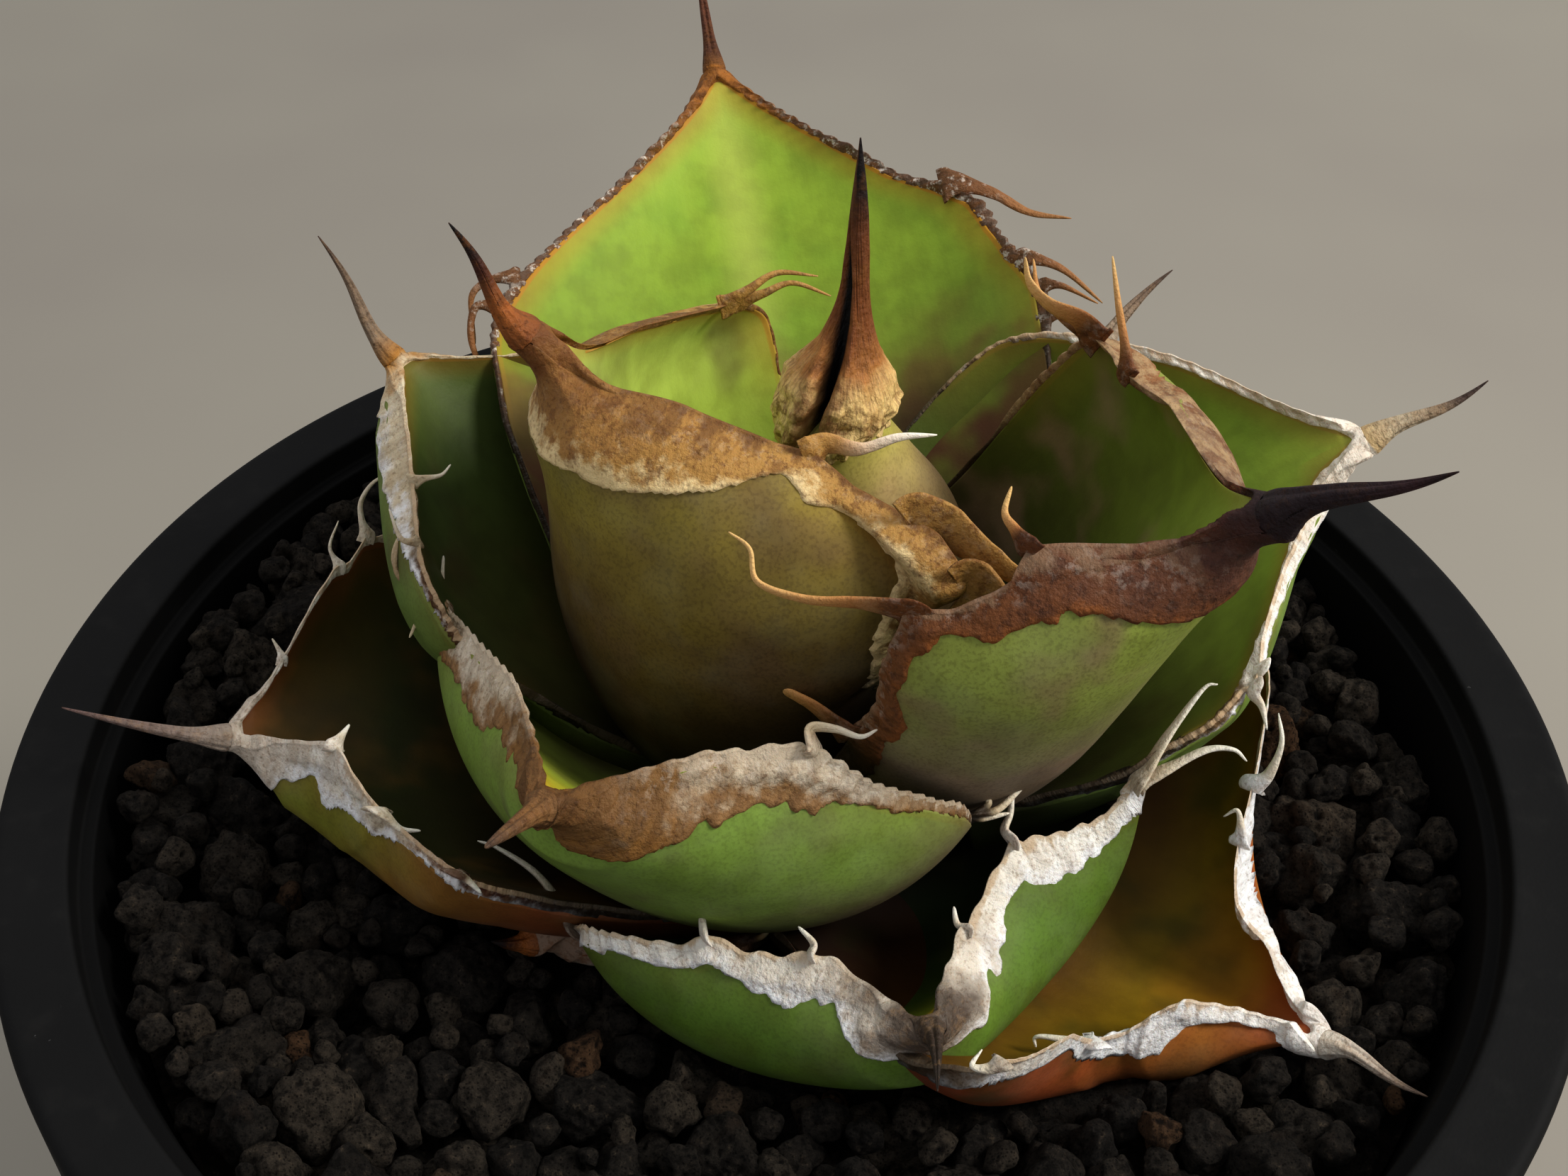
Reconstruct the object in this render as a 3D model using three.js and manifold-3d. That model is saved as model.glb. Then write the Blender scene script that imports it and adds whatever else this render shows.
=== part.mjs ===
// A potted agave: a short-stemmed rosette of thick, cupped leaves with horny toothed margins and long end
// spines, in a round black plastic pot topped with crushed lava. Millimetres, +Z up, the origin at the
// centre of the pot's underside. Angles are in degrees, counted from +X towards +Y.
import * as THREE from 'three';
import { mergeVertices } from 'three/addons/utils/BufferGeometryUtils.js';
import Module from 'manifold-3d';

const wasm = await Module();
wasm.setup();

// ---- Driving dimensions ----

const POT_HEIGHT = 105;
const RIM_RADIUS = 60;
const LIP_WIDTH = 5.6; // the flat top of the rim
const LIP_RADIUS = RIM_RADIUS - LIP_WIDTH;
const LIP_DROP = 9; // how far the rim's skirt hangs
const LIP_BEVEL = 0.8;
const STEP_DEPTH = 2.5; // the small ledge just inside the rim
const STEP_WIDTH = 1.2;
const WALL = 2.2;
const BODY_TOP_RADIUS = 55.8;
const BODY_BASE_RADIUS = 44;
const FLOOR_THICKNESS = 3;
const DRAIN_HOLES = 6;
const DRAIN_RADIUS = 4;
const DRAIN_CIRCLE = 29;
const AROUND = 48; // facets round the pot and the soil

const GAP = 0.3; // clearance between pieces that touch
const SOIL_TOP = POT_HEIGHT - 9.5;
const STONES = 205;
const STONE_RADII = [3.0, 4.8];
const STONE_RING = [12, 49.6]; // where the stones' centres lie, from the pot's axis
const STONE_LUMPS = [0.85, 1.2]; // its corners lie between these shares of its radius from its centre
const STONE_FLATNESS = 0.85;
const STONE_RISE = [0.05, 0.4]; // height of its centre over the bed, as a share of its radius
const GOLDEN_ANGLE = 137.508;

const STEM = new THREE.Vector2(3, 3); // the rosette stands a little off the pot's axis
const STEM_FACETS = 16;
// The stem's radii and heights; heights of the plant are counted from the rim.
const STEM_PROFILE = [[5, -34], [9.5, -22], [9.5, -6], [5.5, 0], [0, 0.6]];

const EDGE = 1.0; // thickness of a leaf at its margin
const ACROSS = 6; // facets across a leaf
const ALONG = [0, 0.15, 0.32, 0.48, 0.63, 0.76, 0.87, 0.955]; // rings from a leaf's root to its point
const [UPPER, LOWER] = [0, 1]; // the two faces of a leaf
const HORN_AT_ROOT = 0.35; // width of the lower face's margin at the root, as a share of its width at the tip
const HORN_SHARE = 0.42; // its greatest share of the half width, towards the tip
const HORN_SLIP = [1.8 * GAP, 2.4 * GAP]; // space across the leaf between blade and margin, on each face
const HORN_FROM = 1; // the ring where the horny margin starts
const HORN_TIP = [0.975, 0.992]; // rings of the margin past the blade, where both sides join
const HORN_LAP = 0.4; // how far each side of the margin laps over the middle at the tip
const BLADE_TIP = 0.8; // least half width of the blade
const FLESH_TAPER = 0.55; // how much of its flesh a leaf has lost at the tip
const TOOTH_SIDES = 3;
const TOOTH_SPAN = [0.2, 0.88]; // where the teeth stand along a margin
const TOOTH_RADII = [0.5, 0.8]; // of the shortest and the longest tooth, where it leaves the margin
const TOOTH_SWEEP = [-0.42, 0.28]; // how far its point lies ahead along the leaf, as a share of its length
const SHORTEST_TOOTH = 0.4; // as a share of the leaf's longest
const LEANS = [10, 35, 60, 85]; // how far a tooth may stand up from its leaf's face
const SPINE_SIDES = 5;
const SPINE_RADII = [1.35, 1.35, 0.95, 0.5];
const SPINE_ROOT = 0.97; // where along the leaf the end spine is rooted

// What most leaves share. A leaf runs from its root on the stem to its tip:
//   az, reach, rise     the tip's direction from the stem, distance from it and height above the rim
//   rootOut, rootUp     the root's distance from the stem's axis and its height
//   swing               how far the root is turned about the stem from the tip's direction
//   climb               slope of the midrib at the root and at the tip; turn is the tip's sideways aim
//   pull                how strongly the midrib keeps those slopes, as a share of its length
//   half, widest        greatest half width and where it lies, from 0 at the root to 1 at the tip
//   rootWidth, point    the root's width as a share of it, and the tip's shape: 0 is blunt, 1 pointed
//   cup                 half angle of the arc across the leaf at the root and at the tip
//   roll                how far the leaf is tipped sideways
//   thick               flesh at the midrib near the root, over the edge thickness
//   horn                width of the horny margin on the upper and on the lower side; it narrows to the root
//   spine               length, sideways aim and slope of the end spine
//   teeth               how many a side, and their longest length
//   hooks               single long teeth: side, s, length, lean and sweep towards the tip
const LEAF = {
  rootOut: 7, rootUp: -5, swing: 0, climb: [10, 40], turn: 0, pull: 0.38,
  half: 23, widest: 0.58, rootWidth: 0.75, point: 1, cup: [65, 50], roll: 0,
  thick: 8, horn: [1.0, 4.0], spine: [10, 0, 25], teeth: [5, 5], hooks: [],
};

// From the innermost open leaf outwards, about 137 degrees round the stem from one to the next.
const LEAVES = [
  {
    number: '02', az: 186, reach: 20, rise: 37, rootOut: 5, rootUp: -0.5, swing: -2, climb: [49, 59],
    turn: -9, pull: 0.52, half: 23.5, widest: 0.64, point: 0.62, cup: [98, 81], roll: 12.5,
    horn: [1.2, 5], spine: [9.5, 6, 57], hooks: [[1, 0.45, 8, 20, -0.1], [1, 0.12, 5, 50, 0.4]],
  },
  {
    number: '03', az: 325, reach: 30, rise: 35.5, rootOut: 5.5, rootUp: -0.5, swing: 21, climb: [33, 49],
    pull: 0.39, half: 19.5, widest: 0.68, rootWidth: 0.8, point: 0.8, cup: [71, 73], roll: 6.5, thick: 6.5,
    horn: [1.2, 4.5], spine: [12, 6, 31], hooks: [[-1, 0.38, 11, 60, -0.3], [-1, 0.16, 9, 50, -0.3]],
  },
  {
    number: '04', az: 102, reach: 51.5, rise: 29, rootUp: -4.5, climb: [57, 43], turn: 3, pull: 0.37,
    half: 24.5, widest: 0.5, cup: [55, 27], roll: -4, horn: [1.0, 3.0], spine: [12, 2, 42],
  },
  {
    number: '05', az: 235, reach: 32, rise: 18.5, rootOut: 6.5, rootUp: -3.5, swing: -9, climb: [5, 45],
    turn: -4, pull: 0.41, half: 23.5, widest: 0.52, rootWidth: 0.7, point: 1.1, cup: [32, 58], roll: 10,
    thick: 7, horn: [1.2, 3.5], spine: [8, 14, 20],
  },
  {
    number: '06', az: 13, reach: 41, rise: 20.5, swing: 6, climb: [18, 30], turn: -10,
    widest: 0.56, point: 0.77, cup: [68, 40], roll: 9.5, thick: 6.5, horn: [1.0, 2.5], spine: [10, 0, 21],
  },
  {
    number: '07', az: 154, reach: 38, rise: 21, climb: [11, 49], turn: -6, pull: 0.34,
    half: 22.5, cup: [76, 46], roll: -2.5, horn: [1.0, 3.0], spine: [11, -2, 53],
  },
  {
    number: '08', az: 281, reach: 32, rise: 2.5, rootOut: 8.5, rootUp: -6, climb: [-12, 57], turn: 10,
    pull: 0.44, widest: 0.55, cup: [31, 70], roll: 8, thick: 7, horn: [1.2, 4.5], spine: [8, -10, 21],
  },
  {
    number: '09', az: 53, reach: 38, rise: 13, rootOut: 8, rootUp: -7, climb: [5, 45],
    horn: [1.0, 3.0], spine: [11, -8, 20],
  },
  {
    number: '10', az: 191, reach: 45.5, rise: 5, rootOut: 8.5, rootUp: -7, swing: 5, climb: [5, 24], turn: 11,
    pull: 0.4, half: 25, point: 1.1, cup: [30, 58], roll: 3, horn: [1.2, 4.0], spine: [12, -6, 14],
  },
  {
    number: '11', az: 322, reach: 44, rise: -5, rootOut: 8.5, rootUp: -7, swing: -4, climb: [5, 24], turn: -4,
    pull: 0.5, half: 24.5, widest: 0.42, point: 0.5, cup: [36, 80], roll: 4, horn: [1.5, 4.0],
    spine: [8, -2, 2],
  },
  {
    number: '12', az: 107, reach: 46, rise: 1, rootOut: 8.5, rootUp: -8, climb: [5, 24],
    cup: [45, 45], thick: 7, spine: [10, 4, 15],
  },
  {
    number: '13', az: 221, reach: 29, rise: -5, rootOut: 8.5, rootUp: -9, climb: [2, 20], half: 13,
    cup: [45, 40], thick: 4, horn: [1.0, 2.5], spine: [3.5, -6, 15], teeth: [4, 2.5],
  },
];

// The closed bud at the centre: its axis and radii from foot to shoulder, then those of its horny cap.
const BUD_AXIS = [[3.4, 3.4, 1], [5.2, 3.6, 15], [4.4, 2.4, 29]].map((xyz) => new THREE.Vector3(...xyz));
const BUD_RADII = [4.5, 7.6, 8.6, 7.6, 5.4, 3.2];
const BUD_CAP_TIP = new THREE.Vector3(3.8, 4.2, 49.5);
const BUD_CAP_LENGTH = BUD_CAP_TIP.distanceTo(BUD_AXIS.at(-1));
const BUD_CAP_RADII = [3.2, 2.9, 2.0, 1.5, 1.0, 0.5];
const BUD_SIDES = 12;

// ---- Materials ----

const matte = (color, roughness) => new THREE.MeshStandardMaterial({ color, roughness, metalness: 0 });
const BLACK_PLASTIC = matte(0x17171a, 0.55);
const LAVA = matte(0x2a2829, 0.95);
const FLESH = matte(0x6f8236, 0.6);
const HORN = matte(0xb39a78, 0.75);
const WOODY = matte(0x6a5238, 0.9);

// ---- Small helpers ----

const rad = THREE.MathUtils.degToRad;
const lerp = THREE.MathUtils.lerp;

/** A direction from its azimuth and slope, in degrees. */
function heading(az, slope = 0) {
  const a = rad(az);
  const e = rad(slope);
  return new THREE.Vector3(Math.cos(e) * Math.cos(a), Math.cos(e) * Math.sin(a), Math.sin(e));
}

/** A repeatable source of numbers from 0 to 1. */
function seeded(seed) {
  let state = seed;
  return () => {
    state = (state * 1664525 + 1013904223) % 4294967296;
    return state / 4294967296;
  };
}

function geometryOf(points, faces) {
  const geometry = new THREE.BufferGeometry();
  const flat = points.flatMap((point) => point.toArray());
  geometry.setAttribute('position', new THREE.Float32BufferAttribute(flat, 3));
  geometry.setIndex(faces.flat());
  return geometry;
}

/** A closed geometry as a solid that can be joined and cut. */
function solidOf(geometry) {
  const bare = geometry.clone();
  bare.deleteAttribute('normal');
  bare.deleteAttribute('uv');
  const merged = mergeVertices(bare, 1e-4);
  return new wasm.Manifold(new wasm.Mesh({
    numProp: 3,
    vertProperties: new Float32Array(merged.attributes.position.array),
    triVerts: new Uint32Array(merged.index.array),
  }));
}

/** The largest body of a solid, without the scraps that a cut leaves. */
function mainBody(solid) {
  const bodies = solid.decompose();
  return bodies.reduce((best, body) => (body.volume() > best.volume() ? body : best));
}

function geometryOfSolid(solid) {
  const mesh = mainBody(solid).getMesh();
  const geometry = new THREE.BufferGeometry();
  geometry.setAttribute('position', new THREE.Float32BufferAttribute(mesh.vertProperties, 3));
  geometry.setIndex(new THREE.Uint32BufferAttribute(mesh.triVerts, 1));
  return geometry;
}

/**
 * A closed slab between two skins, each a list of rows with the same number of points. Both skins are split
 * into triangles along the same diagonals.
 */
function slab(top, under) {
  const rows = top.length;
  const n = top[0].length;
  const points = [...top.flat(), ...under.flat()];
  const a = (j, k) => j * n + k;
  const b = (j, k) => rows * n + j * n + k;
  const faces = [];
  const quad = (p, q, r, s) => faces.push([p, q, r], [p, r, s]);
  for (let j = 0; j < rows - 1; j++) {
    for (let k = 0; k < n - 1; k++) {
      faces.push([a(j, k), a(j + 1, k + 1), a(j, k + 1)], [a(j, k), a(j + 1, k), a(j + 1, k + 1)]);
      faces.push([b(j, k), b(j, k + 1), b(j + 1, k + 1)], [b(j, k), b(j + 1, k + 1), b(j + 1, k)]);
    }
    quad(a(j, 0), b(j, 0), b(j + 1, 0), a(j + 1, 0));
    quad(a(j, n - 1), a(j + 1, n - 1), b(j + 1, n - 1), b(j, n - 1));
  }
  for (let k = 0; k < n - 1; k++) {
    quad(a(0, k), a(0, k + 1), b(0, k + 1), b(0, k));
    quad(a(rows - 1, k + 1), a(rows - 1, k), b(rows - 1, k), b(rows - 1, k + 1));
  }
  return geometryOf(points, faces);
}

/** A tapering round body along a path. It ends in a point where the last radius is 0, and flat otherwise. */
function taper(path, radii, sides) {
  const rings = radii.filter((radius) => radius > 0);
  const start = path.getTangent(0);
  const side = new THREE.Vector3(0, 0, 1).cross(start);
  if (side.length() < 0.2) side.set(1, 0, 0);
  const points = [];
  const faces = [];
  rings.forEach((radius, j) => {
    const centre = path.getPoint(j / (radii.length - 1));
    const along = path.getTangent(j / (radii.length - 1));
    const u = side.clone().addScaledVector(along, -side.dot(along)).normalize();
    const v = along.clone().cross(u);
    for (let k = 0; k < sides; k++) {
      const angle = (k / sides) * 2 * Math.PI;
      const point = centre.clone().addScaledVector(u, radius * Math.cos(angle));
      points.push(point.addScaledVector(v, radius * Math.sin(angle)));
    }
  });
  const foot = points.push(path.getPoint(0)) - 1;
  const peak = points.push(path.getPoint(1)) - 1;
  const last = (rings.length - 1) * sides;
  for (let k = 0; k < sides; k++) {
    const next = (k + 1) % sides;
    faces.push([foot, next, k], [peak, last + k, last + next]);
    for (let low = 0; low < last; low += sides) {
      const high = low + sides;
      faces.push([low + k, low + next, high + next], [low + k, high + next, high + k]);
    }
  }
  return geometryOf(points, faces);
}

/** A closed body of revolution about +Z from its profile, as radius and height. */
function turned(profile, facets = AROUND) {
  const geometry = new THREE.LatheGeometry(profile.map(([r, z]) => new THREE.Vector2(r, z)), facets);
  return solidOf(geometry.rotateX(Math.PI / 2));
}

// ---- Pot ----

function potOuterRadius(z) {
  return lerp(BODY_BASE_RADIUS, BODY_TOP_RADIUS, z / (POT_HEIGHT - LIP_DROP));
}

function potInnerRadius(z) {
  const low = potOuterRadius(FLOOR_THICKNESS) - WALL;
  const share = (z - FLOOR_THICKNESS) / (POT_HEIGHT - STEP_DEPTH - FLOOR_THICKNESS);
  return lerp(low, LIP_RADIUS - STEP_WIDTH, share);
}

function makePot() {
  const skirt = POT_HEIGHT - LIP_DROP;
  const ledge = POT_HEIGHT - STEP_DEPTH;
  const pot = turned([
    [0, 0],
    [BODY_BASE_RADIUS - 1, 0],
    [BODY_BASE_RADIUS, 1],
    [potOuterRadius(skirt), skirt],
    [RIM_RADIUS, skirt],
    [RIM_RADIUS, POT_HEIGHT - LIP_BEVEL],
    [RIM_RADIUS - LIP_BEVEL, POT_HEIGHT],
    [LIP_RADIUS, POT_HEIGHT],
    [LIP_RADIUS, ledge],
    [potInnerRadius(ledge), ledge],
    [potInnerRadius(FLOOR_THICKNESS), FLOOR_THICKNESS],
    [0, FLOOR_THICKNESS],
  ]);
  const drain = new THREE.CylinderGeometry(DRAIN_RADIUS, DRAIN_RADIUS, 3 * FLOOR_THICKNESS, 12);
  drain.rotateX(Math.PI / 2);
  const holes = Array.from({ length: DRAIN_HOLES }, (_, i) => {
    const place = heading((i * 360) / DRAIN_HOLES).multiplyScalar(DRAIN_CIRCLE);
    return solidOf(drain.clone().translate(place.x, place.y, 0));
  });
  return holes.reduce((left, hole) => left.subtract(hole), pot);
}

// ---- Leaves ----

const onRim = (v) => v.setZ(v.z + POT_HEIGHT);

function fromStem(az, out, up) {
  const place = heading(az).multiplyScalar(out);
  return onRim(new THREE.Vector3(STEM.x + place.x, STEM.y + place.y, up));
}

function midrib(leaf) {
  const root = fromStem(leaf.az + leaf.swing, leaf.rootOut, leaf.rootUp);
  const tip = fromStem(leaf.az, leaf.reach, leaf.rise);
  const pull = root.distanceTo(tip) * leaf.pull;
  const fromRoot = heading(leaf.az + leaf.swing, leaf.climb[0]).multiplyScalar(pull);
  const toTip = heading(leaf.az + leaf.turn, leaf.climb[1]).multiplyScalar(pull);
  return new THREE.CubicBezierCurve3(root, root.clone().add(fromRoot), tip.clone().sub(toTip), tip);
}

/** Half width of a leaf at s, from 0 at its root to 1 at its tip. */
function halfWidth(leaf, s) {
  if (s < leaf.widest) {
    const rise = Math.sin(((s / leaf.widest) * Math.PI) / 2);
    return leaf.half * lerp(leaf.rootWidth, 1, rise);
  }
  const x = (1 - s) / (1 - leaf.widest);
  return leaf.half * (leaf.point * (x ** 3 - 2 * x ** 2 + x) + x * x * (3 - 2 * x));
}

/** Width of the horny margin at s on one face. */
function hornWidth(leaf, s, face) {
  if (face === UPPER) return leaf.horn[UPPER];
  const full = leaf.horn[LOWER] * lerp(HORN_AT_ROOT, 1, s * s * (3 - 2 * s));
  return Math.min(full, HORN_SHARE * halfWidth(leaf, s));
}

/** Depth of the flesh under the upper face at s and at x mm from the midrib. */
function depth(leaf, s, x) {
  const w = Math.max(halfWidth(leaf, s), BLADE_TIP);
  const share = Math.min(Math.abs(x) / w, 1);
  const flesh = leaf.thick * (1 - FLESH_TAPER * s ** 1.5) * (1 - share ** 2.2);
  return EDGE + Math.min(flesh, w * 0.5);
}

/** The point of a leaf at s, x mm across its curved face and d mm under it. */
function at(leaf, s, x, d) {
  const centre = leaf.curve.getPoint(s);
  const along = leaf.curve.getTangent(s);
  const az = rad(leaf.az + leaf.swing * (1 - s));
  const across = new THREE.Vector3(-Math.sin(az), Math.cos(az), 0);
  across.addScaledVector(along, -across.dot(along)).normalize();
  across.applyAxisAngle(along, rad(leaf.roll));
  const up = along.clone().cross(across);
  const arc = rad(lerp(leaf.cup[0], leaf.cup[1], s));
  const radius = Math.max(halfWidth(leaf, s), BLADE_TIP) / arc;
  const angle = x / radius;
  centre.addScaledVector(across, (radius + d) * Math.sin(angle));
  return centre.addScaledVector(up, radius - (radius + d) * Math.cos(angle));
}

/** Even places from one to another, in so many steps. */
const spread = (from, to, steps) => Array.from({ length: steps + 1 }, (_, i) => lerp(from, to, i / steps));

/** The rings of a body along a leaf, with the first and the last moved out by a clearance. */
function ringsOf(places, grow) {
  const last = places.length - 1;
  return places.map((s, j) => ({ s, shift: grow * ((j === last) - (j === 0)) }));
}

/** The points of one face of a leaf on a ring, at some places across, moved out by a clearance. */
function rowOf(leaf, ring, face, places, grow) {
  const { s, shift } = ring;
  const xs = [places[0] - grow, ...places.slice(1, -1), places.at(-1) + grow];
  const along = leaf.curve.getTangent(s).multiplyScalar(shift);
  return xs.map((x) => at(leaf, s, x, face === LOWER ? depth(leaf, s, x) + grow : -grow).add(along));
}

/** The green blade: it stops short of the horny margin, whose face slants inwards to the lower side. */
function bladeOf(leaf, grow = 0) {
  const skin = (face) => ringsOf(ALONG, grow).map((ring) => {
    const reach = halfWidth(leaf, ring.s) - hornWidth(leaf, ring.s, face) - HORN_SLIP[face];
    const side = Math.max(reach, BLADE_TIP);
    return rowOf(leaf, ring, face, spread(-side, side, ACROSS), grow);
  });
  return solidOf(slab(skin(UPPER), skin(LOWER)));
}

/** One side of the horny margin, from near the root to the tip, where it laps over the middle. */
function marginOf(leaf, side, grow = 0) {
  const rings = ringsOf([...ALONG.slice(HORN_FROM), ...HORN_TIP], grow);
  const skin = (face) => rings.map((ring) => {
    const edge = Math.max(halfWidth(leaf, ring.s), BLADE_TIP);
    const beside = Math.max(edge - hornWidth(leaf, ring.s, face), BLADE_TIP + HORN_SLIP[face]);
    const inner = ring.s > ALONG.at(-1) ? -HORN_LAP : beside;
    return rowOf(leaf, ring, face, side > 0 ? [inner, edge] : [-edge, -inner], grow);
  });
  return solidOf(slab(skin(UPPER), skin(LOWER)));
}

/** The whole leaf without spine and teeth, grown by the clearance, to cut its neighbours with. */
function grownLeaf(leaf) {
  return wasm.Manifold.union([bladeOf(leaf, GAP), marginOf(leaf, 1, GAP), marginOf(leaf, -1, GAP)]);
}

function spineOf(leaf) {
  const [length, aim, slope] = leaf.spine;
  const root = at(leaf, SPINE_ROOT, 0, 0.45 * depth(leaf, SPINE_ROOT, 0));
  const tip = leaf.curve.getPoint(1);
  const end = tip.clone().addScaledVector(heading(leaf.az + aim, slope), length);
  const knee = tip.clone().addScaledVector(leaf.curve.getTangent(1), 0.35 * length);
  return solidOf(taper(new THREE.QuadraticBezierCurve3(root, knee, end), [...SPINE_RADII, 0], SPINE_SIDES));
}

/** One hooked tooth on a margin, out from s on one side, leaning up by some degrees. */
function toothOf(leaf, side, s, length, lean, sweep) {
  const w = halfWidth(leaf, s);
  const sunk = 0.4 + 0.6 * Math.cos(rad(lean)) ** 2;
  const foot = at(leaf, s, side * (w - sunk), 0.5 * EDGE);
  const edge = at(leaf, s, side * w, 0.5 * EDGE);
  const out = edge.clone().sub(foot).normalize();
  const up = at(leaf, s, side * w, -1).sub(at(leaf, s, side * w, 0)).normalize();
  const along = leaf.curve.getTangent(s);
  const aim = out.clone().multiplyScalar(Math.cos(rad(lean))).addScaledVector(up, Math.sin(rad(lean)));
  const middle = edge.clone().addScaledVector(aim, 0.5 * length);
  const end = edge.clone().addScaledVector(aim, 0.85 * length).addScaledVector(along, sweep * length);
  const width = THREE.MathUtils.clamp(0.2 * length, ...TOOTH_RADII);
  const path = new THREE.QuadraticBezierCurve3(foot, middle, end);
  return solidOf(taper(path, [width, 0.6 * width, 0], TOOTH_SIDES));
}

/** The teeth of both sides. Each stands up steeper until it is clear of the leaves around it. */
function teethOf(leaf, others) {
  const random = seeded(leaf.az * 7 + 3);
  const [count, longest] = leaf.teeth;
  const clear = (tooth) => others.every((other) => tooth.intersect(other).isEmpty());
  const teeth = leaf.hooks.map((hook) => toothOf(leaf, ...hook)).filter(clear);
  for (const side of [-1, 1]) {
    for (let i = 0; i < count; i++) {
      const s = lerp(...TOOTH_SPAN, (i + lerp(0.25, 0.75, random())) / count);
      const length = longest * lerp(SHORTEST_TOOTH, 1, random());
      const sweep = lerp(...TOOTH_SWEEP, random());
      const free = LEANS.map((lean) => toothOf(leaf, side, s, length, lean, sweep)).find(clear);
      if (free) teeth.push(free);
    }
  }
  return teeth;
}

// ---- Central bud ----

const budPath = new THREE.CatmullRomCurve3(BUD_AXIS.map((p) => onRim(p.clone())));

function makeBud(grow = 0) {
  return solidOf(taper(budPath, BUD_RADII.map((radius) => radius + grow), BUD_SIDES));
}

/** The bud's horny cap, which runs out into the longest spine. */
function makeBudCap() {
  const along = budPath.getTangent(1);
  const seat = budPath.getPoint(1).addScaledVector(along, GAP);
  const knee = seat.clone().addScaledVector(along, 0.4 * BUD_CAP_LENGTH);
  const tip = onRim(BUD_CAP_TIP.clone());
  return solidOf(taper(new THREE.QuadraticBezierCurve3(seat, knee, tip), [...BUD_CAP_RADII, 0], BUD_SIDES));
}

// ---- Stem and soil ----

function makeStem(grow = 0) {
  const profile = STEM_PROFILE.map(([r, z], i) => [r + (z < 0 ? grow : 0), z + (i ? grow : -grow)]);
  return turned([[0, profile[0][1]], ...profile], STEM_FACETS).translate([STEM.x, STEM.y, POT_HEIGHT]);
}

function makeStone(random, radius) {
  const stone = new THREE.OctahedronGeometry(1, 0);
  const corners = stone.attributes.position;
  const lumps = new Map();
  for (let i = 0; i < corners.count; i++) {
    const p = new THREE.Vector3().fromBufferAttribute(corners, i);
    const key = p.toArray().map((c) => c.toFixed(2)).join();
    if (!lumps.has(key)) lumps.set(key, lerp(...STONE_LUMPS, random()));
    corners.setXYZ(i, ...p.multiplyScalar(radius * lumps.get(key)).toArray());
  }
  stone.rotateZ(2 * Math.PI * random()).rotateX(2 * Math.PI * random());
  return stone.scale(1, 1, STONE_FLATNESS);
}

/** Crushed lava: a packed bed with stones standing out of it in a sunflower pattern, clear of the plant. */
function makeSoil(plant) {
  const inner = (z) => potInnerRadius(z) - GAP;
  const foot = FLOOR_THICKNESS + GAP;
  const bed = turned([[0, foot], [inner(foot), foot], [inner(SOIL_TOP), SOIL_TOP], [0, SOIL_TOP]]);
  const random = seeded(11);
  const stones = [];
  for (let i = 0; i < STONES; i++) {
    const share = (i + 0.5) / STONES;
    const out = Math.sqrt(lerp(STONE_RING[0] ** 2, STONE_RING[1] ** 2, share));
    const place = heading(i * GOLDEN_ANGLE).multiplyScalar(out);
    const room = (inner(SOIL_TOP) - GAP - out) / STONE_LUMPS[1];
    const radius = Math.min(lerp(...STONE_RADII, random() ** 1.5), room);
    const shape = solidOf(makeStone(random, radius));
    const height = SOIL_TOP + radius * lerp(...STONE_RISE, random());
    const seats = [0, 1, 2].map((sunk) => shape.translate([place.x, place.y, height - sunk]));
    const seat = seats.find((stone) => plant.every((piece) => stone.intersect(piece).isEmpty()));
    if (seat) stones.push(seat);
  }
  return wasm.Manifold.union([plant.reduce((left, piece) => left.subtract(piece), bed), ...stones]);
}

// ---- Assembly ----

const potted = new THREE.Group();

function put(name, solid, material) {
  const mesh = new THREE.Mesh(geometryOfSolid(solid), material);
  mesh.name = name;
  potted.add(mesh);
}

put('leaf_01_bud', makeBud(), FLESH);
put('border_01_bud', makeBudCap(), HORN);

const grownBud = makeBud(GAP);
const leaves = LEAVES.map((own, order) => {
  const leaf = { ...LEAF, ...own, order };
  leaf.curve = midrib(leaf);
  leaf.grown = grownLeaf(leaf);
  return leaf;
});

const ground = turned([[0, 0], [RIM_RADIUS, 0], [RIM_RADIUS, SOIL_TOP + GAP], [0, SOIL_TOP + GAP]]);
const occupied = [grownBud, ...leaves.map((leaf) => leaf.grown)];

leaves.forEach((leaf) => {
  const inner = [grownBud, ...leaves.slice(0, leaf.order).map((other) => other.grown)];
  const others = leaves.filter((other) => other !== leaf).map((other) => other.grown);
  const trim = (solid) => inner.reduce((left, piece) => left.subtract(piece), solid);
  const margin = wasm.Manifold.union([marginOf(leaf, 1), marginOf(leaf, -1), spineOf(leaf)]);
  const ownBlade = bladeOf(leaf, GAP);
  const teeth = teethOf(leaf, [...others, grownBud, ground]).map((tooth) => tooth.subtract(ownBlade));
  const border = wasm.Manifold.union([trim(margin), ...teeth]);
  put(`leaf_${leaf.number}`, trim(bladeOf(leaf)), FLESH);
  put(`border_${leaf.number}`, border, HORN);
  occupied.push(border);
});

const stem = makeStem();
put('stem', occupied.reduce((left, piece) => left.subtract(piece), stem), WOODY);
put('pot', makePot(), BLACK_PLASTIC);
put('soil', makeSoil([makeStem(GAP), ...occupied]), LAVA);

export default potted;
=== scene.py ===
"""A potted agave: a short-stemmed rosette of cupped, horny-margined leaves in a black plastic pot of lava.

Sizes are in millimetres and angles in degrees, counted from +X towards +Y. Heights of the plant are counted
from the pot's rim. Meshes are written in metres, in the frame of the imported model.
"""
from dataclasses import dataclass, field
from itertools import product

import bpy
import numpy as np
from mathutils import Matrix, Vector
from mathutils.kdtree import KDTree


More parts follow.
